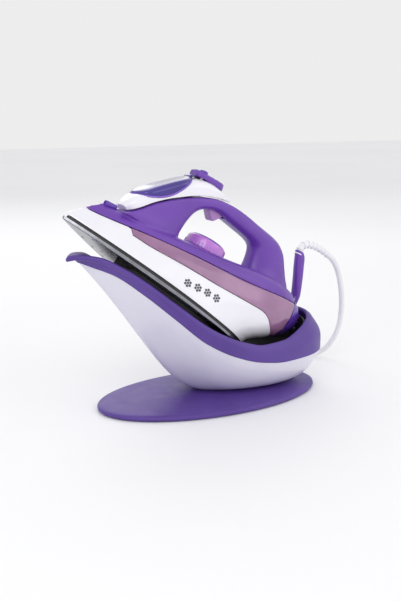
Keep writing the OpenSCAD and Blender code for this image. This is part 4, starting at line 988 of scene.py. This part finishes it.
w, lip = dock["rimHalf"], dock["lip"]
rimRings = [rimRing(-152, 136, w - 1, rimLow),
            rimRing(-157, 134.5, w + 0.2, lambda x: rimLow(x) * 0.55 + rimTop(x) * 0.45),
            rimRing(-163, 122.5, w, lambda x: rimTop(x) - 5),
            rimRing(-164, 120, w - 1, lambda x: rimTop(x) - 2),
            rimRing(-160, 117.5, w - 2.6, rimTop),
            rimRing(-150, 115.5, w - lip, lambda x: rimTop(x) - 1.6),
            rimRing(-146, 116, w - lip - 0.6, lambda x: rimTop(x) - 4),
            rimRing(-141, 129, w - lip, lambda x: rimLow(x) + 2)]
piece("dockRim", loft(smoothRings(rimRings, 4, closed=True, sharp=(0, 7)), closed=True), dockPurple, None, 35)

traySide = w - lip - 1.6
trayFloor = through([(-150, 156), (-116, 142), (-97, 126), (-69, 103), (-39, 79), (-10, 58), (10, 48),
                     (30, 44), (95, 44), (125, 52)])
piece("restTray", loft([
    rimRing(-118, 101, traySide * 0.7, lambda x: trayFloor(x) - 2),
    rimRing(-126, 113, traySide * 0.9, lambda x: trayFloor(x) - 1),
    rimRing(-136, 114, traySide, lambda x: max(trayFloor(x) + 2, rimTop(x) - 12)),
    rimRing(-136, 114, traySide, lambda x: rimTop(x) - 7),
    rimRing(-133, 112.6, traySide - 1.6, lambda x: rimTop(x) - 7),
    rimRing(-132, 112, traySide - 1.8, lambda x: max(trayFloor(x) + 4, rimTop(x) - 11)),
    rimRing(-124, 110, traySide * 0.88, lambda x: trayFloor(x) + 1.2),
    rimRing(-116, 99, traySide * 0.68, lambda x: trayFloor(x) + 0.4)]), phenolic, None, 35)

floorMesh = bpy.data.meshes.new("floor")
floorMesh.from_pydata([(-6, -6, 0), (6, -6, 0), (6, 6, 0), (-6, 6, 0)], [], [(0, 1, 2, 3)])
floorMesh.materials.append(floorPaint)
floor = bpy.data.objects.new("floor", floorMesh)
bpy.context.scene.collection.objects.link(floor)
print("dock ready")

# what rides where, what stands for which node
riders = {  # body: piece: (colour slot, the nodes that it is shown in place of)
    "dock": {"leafBase": ("lilac_rim", "base_plate"), "dockHull": ("white_housing", "hull_shell"),
             "dockRim": ("lilac_rim", "dock_rim"), "restTray": ("black_heatproof", "rest_tray"),
             "mainsPlug": ("white_cord", "plug_body"), "plugPins": ("brass", "plug_pins")},
    "iron": {"solePlate": ("sole_steel", "sole_plate"), "heatShield": ("black_heatproof", "heat_shield"),
             "whiteSkirt": ("white_housing", "skirt"), "printedMarks": ("black_rubber",),
             "waterTank": ("pink_translucent", "water_tank"),
             "purpleShell": ("purple_housing", "upper_body", "handle"),
             "topCover": ("white_housing", "top_cover"),
             "buttonPanel": ("purple_housing", "button_panel"), "gripBumps": ("purple_housing",),
             "sprayNozzle": ("deep_purple_gloss", "spray_nozzle"),
             "heelCap": ("deep_purple_gloss", "heel_cap")},
    "dial": {"temperatureDial": ("magenta_dial", "temperature_dial"), "dialCap": ("deep_purple_gloss",),
             "dialRidges": ("magenta_dial",)},
    "spray": {"sprayButton": ("deep_purple_gloss", "spray_button")},
    "steam": {"steamButton": ("deep_purple_gloss", "steam_button")},
    "trigger": {"steamTrigger": ("pink_trigger", "steam_trigger")},
    "door": {"fillDoor": ("deep_purple_gloss", "fill_door"), "doorTrim": ("purple_housing",)},
    "guard": {"cordGuard": ("purple_housing", "cord_guard")},
}
for body, pieces in riders.items():
    for name, (slot, *nodes) in pieces.items():
        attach(made[name], body)
        if nodes:
            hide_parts(*nodes)
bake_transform(strainRelief)
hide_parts("strain_relief")
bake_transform(cordPiece)
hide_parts("cord_tube", "cord_coil", "plug_lead")

finishes = {  # the nodes that stay as they are, by their material
    rubberBlack: ["base_mat", "coil_tie"], castIron: ["base_weight"], phenolic: ["rest_pad"],
    platedSteel: ["base_screws", "tray_screws", "sole_screws", "chamber_cover", "heating_element",
                  "dial_shaft", "door_pin", "trigger_pin", "heel_screws", "cord_clamp", "pump_springs"],
    castAluminium: ["heater_casting"], turnedBrass: ["thermostat", "drip_valve"], tintedTank: ["tank_lid"],
    nylonWhite: ["shaft_sleeve", "pump_barrels", "spray_piston", "steam_piston", "guard_pivot", "fill_neck"],
    steatite: ["thermal_fuse", "terminal_block"],
}
for material, nodes in finishes.items():
    for name in nodes:
        slots = frame["nodes"][name].data.materials
        slots.clear()
        slots.append(material)
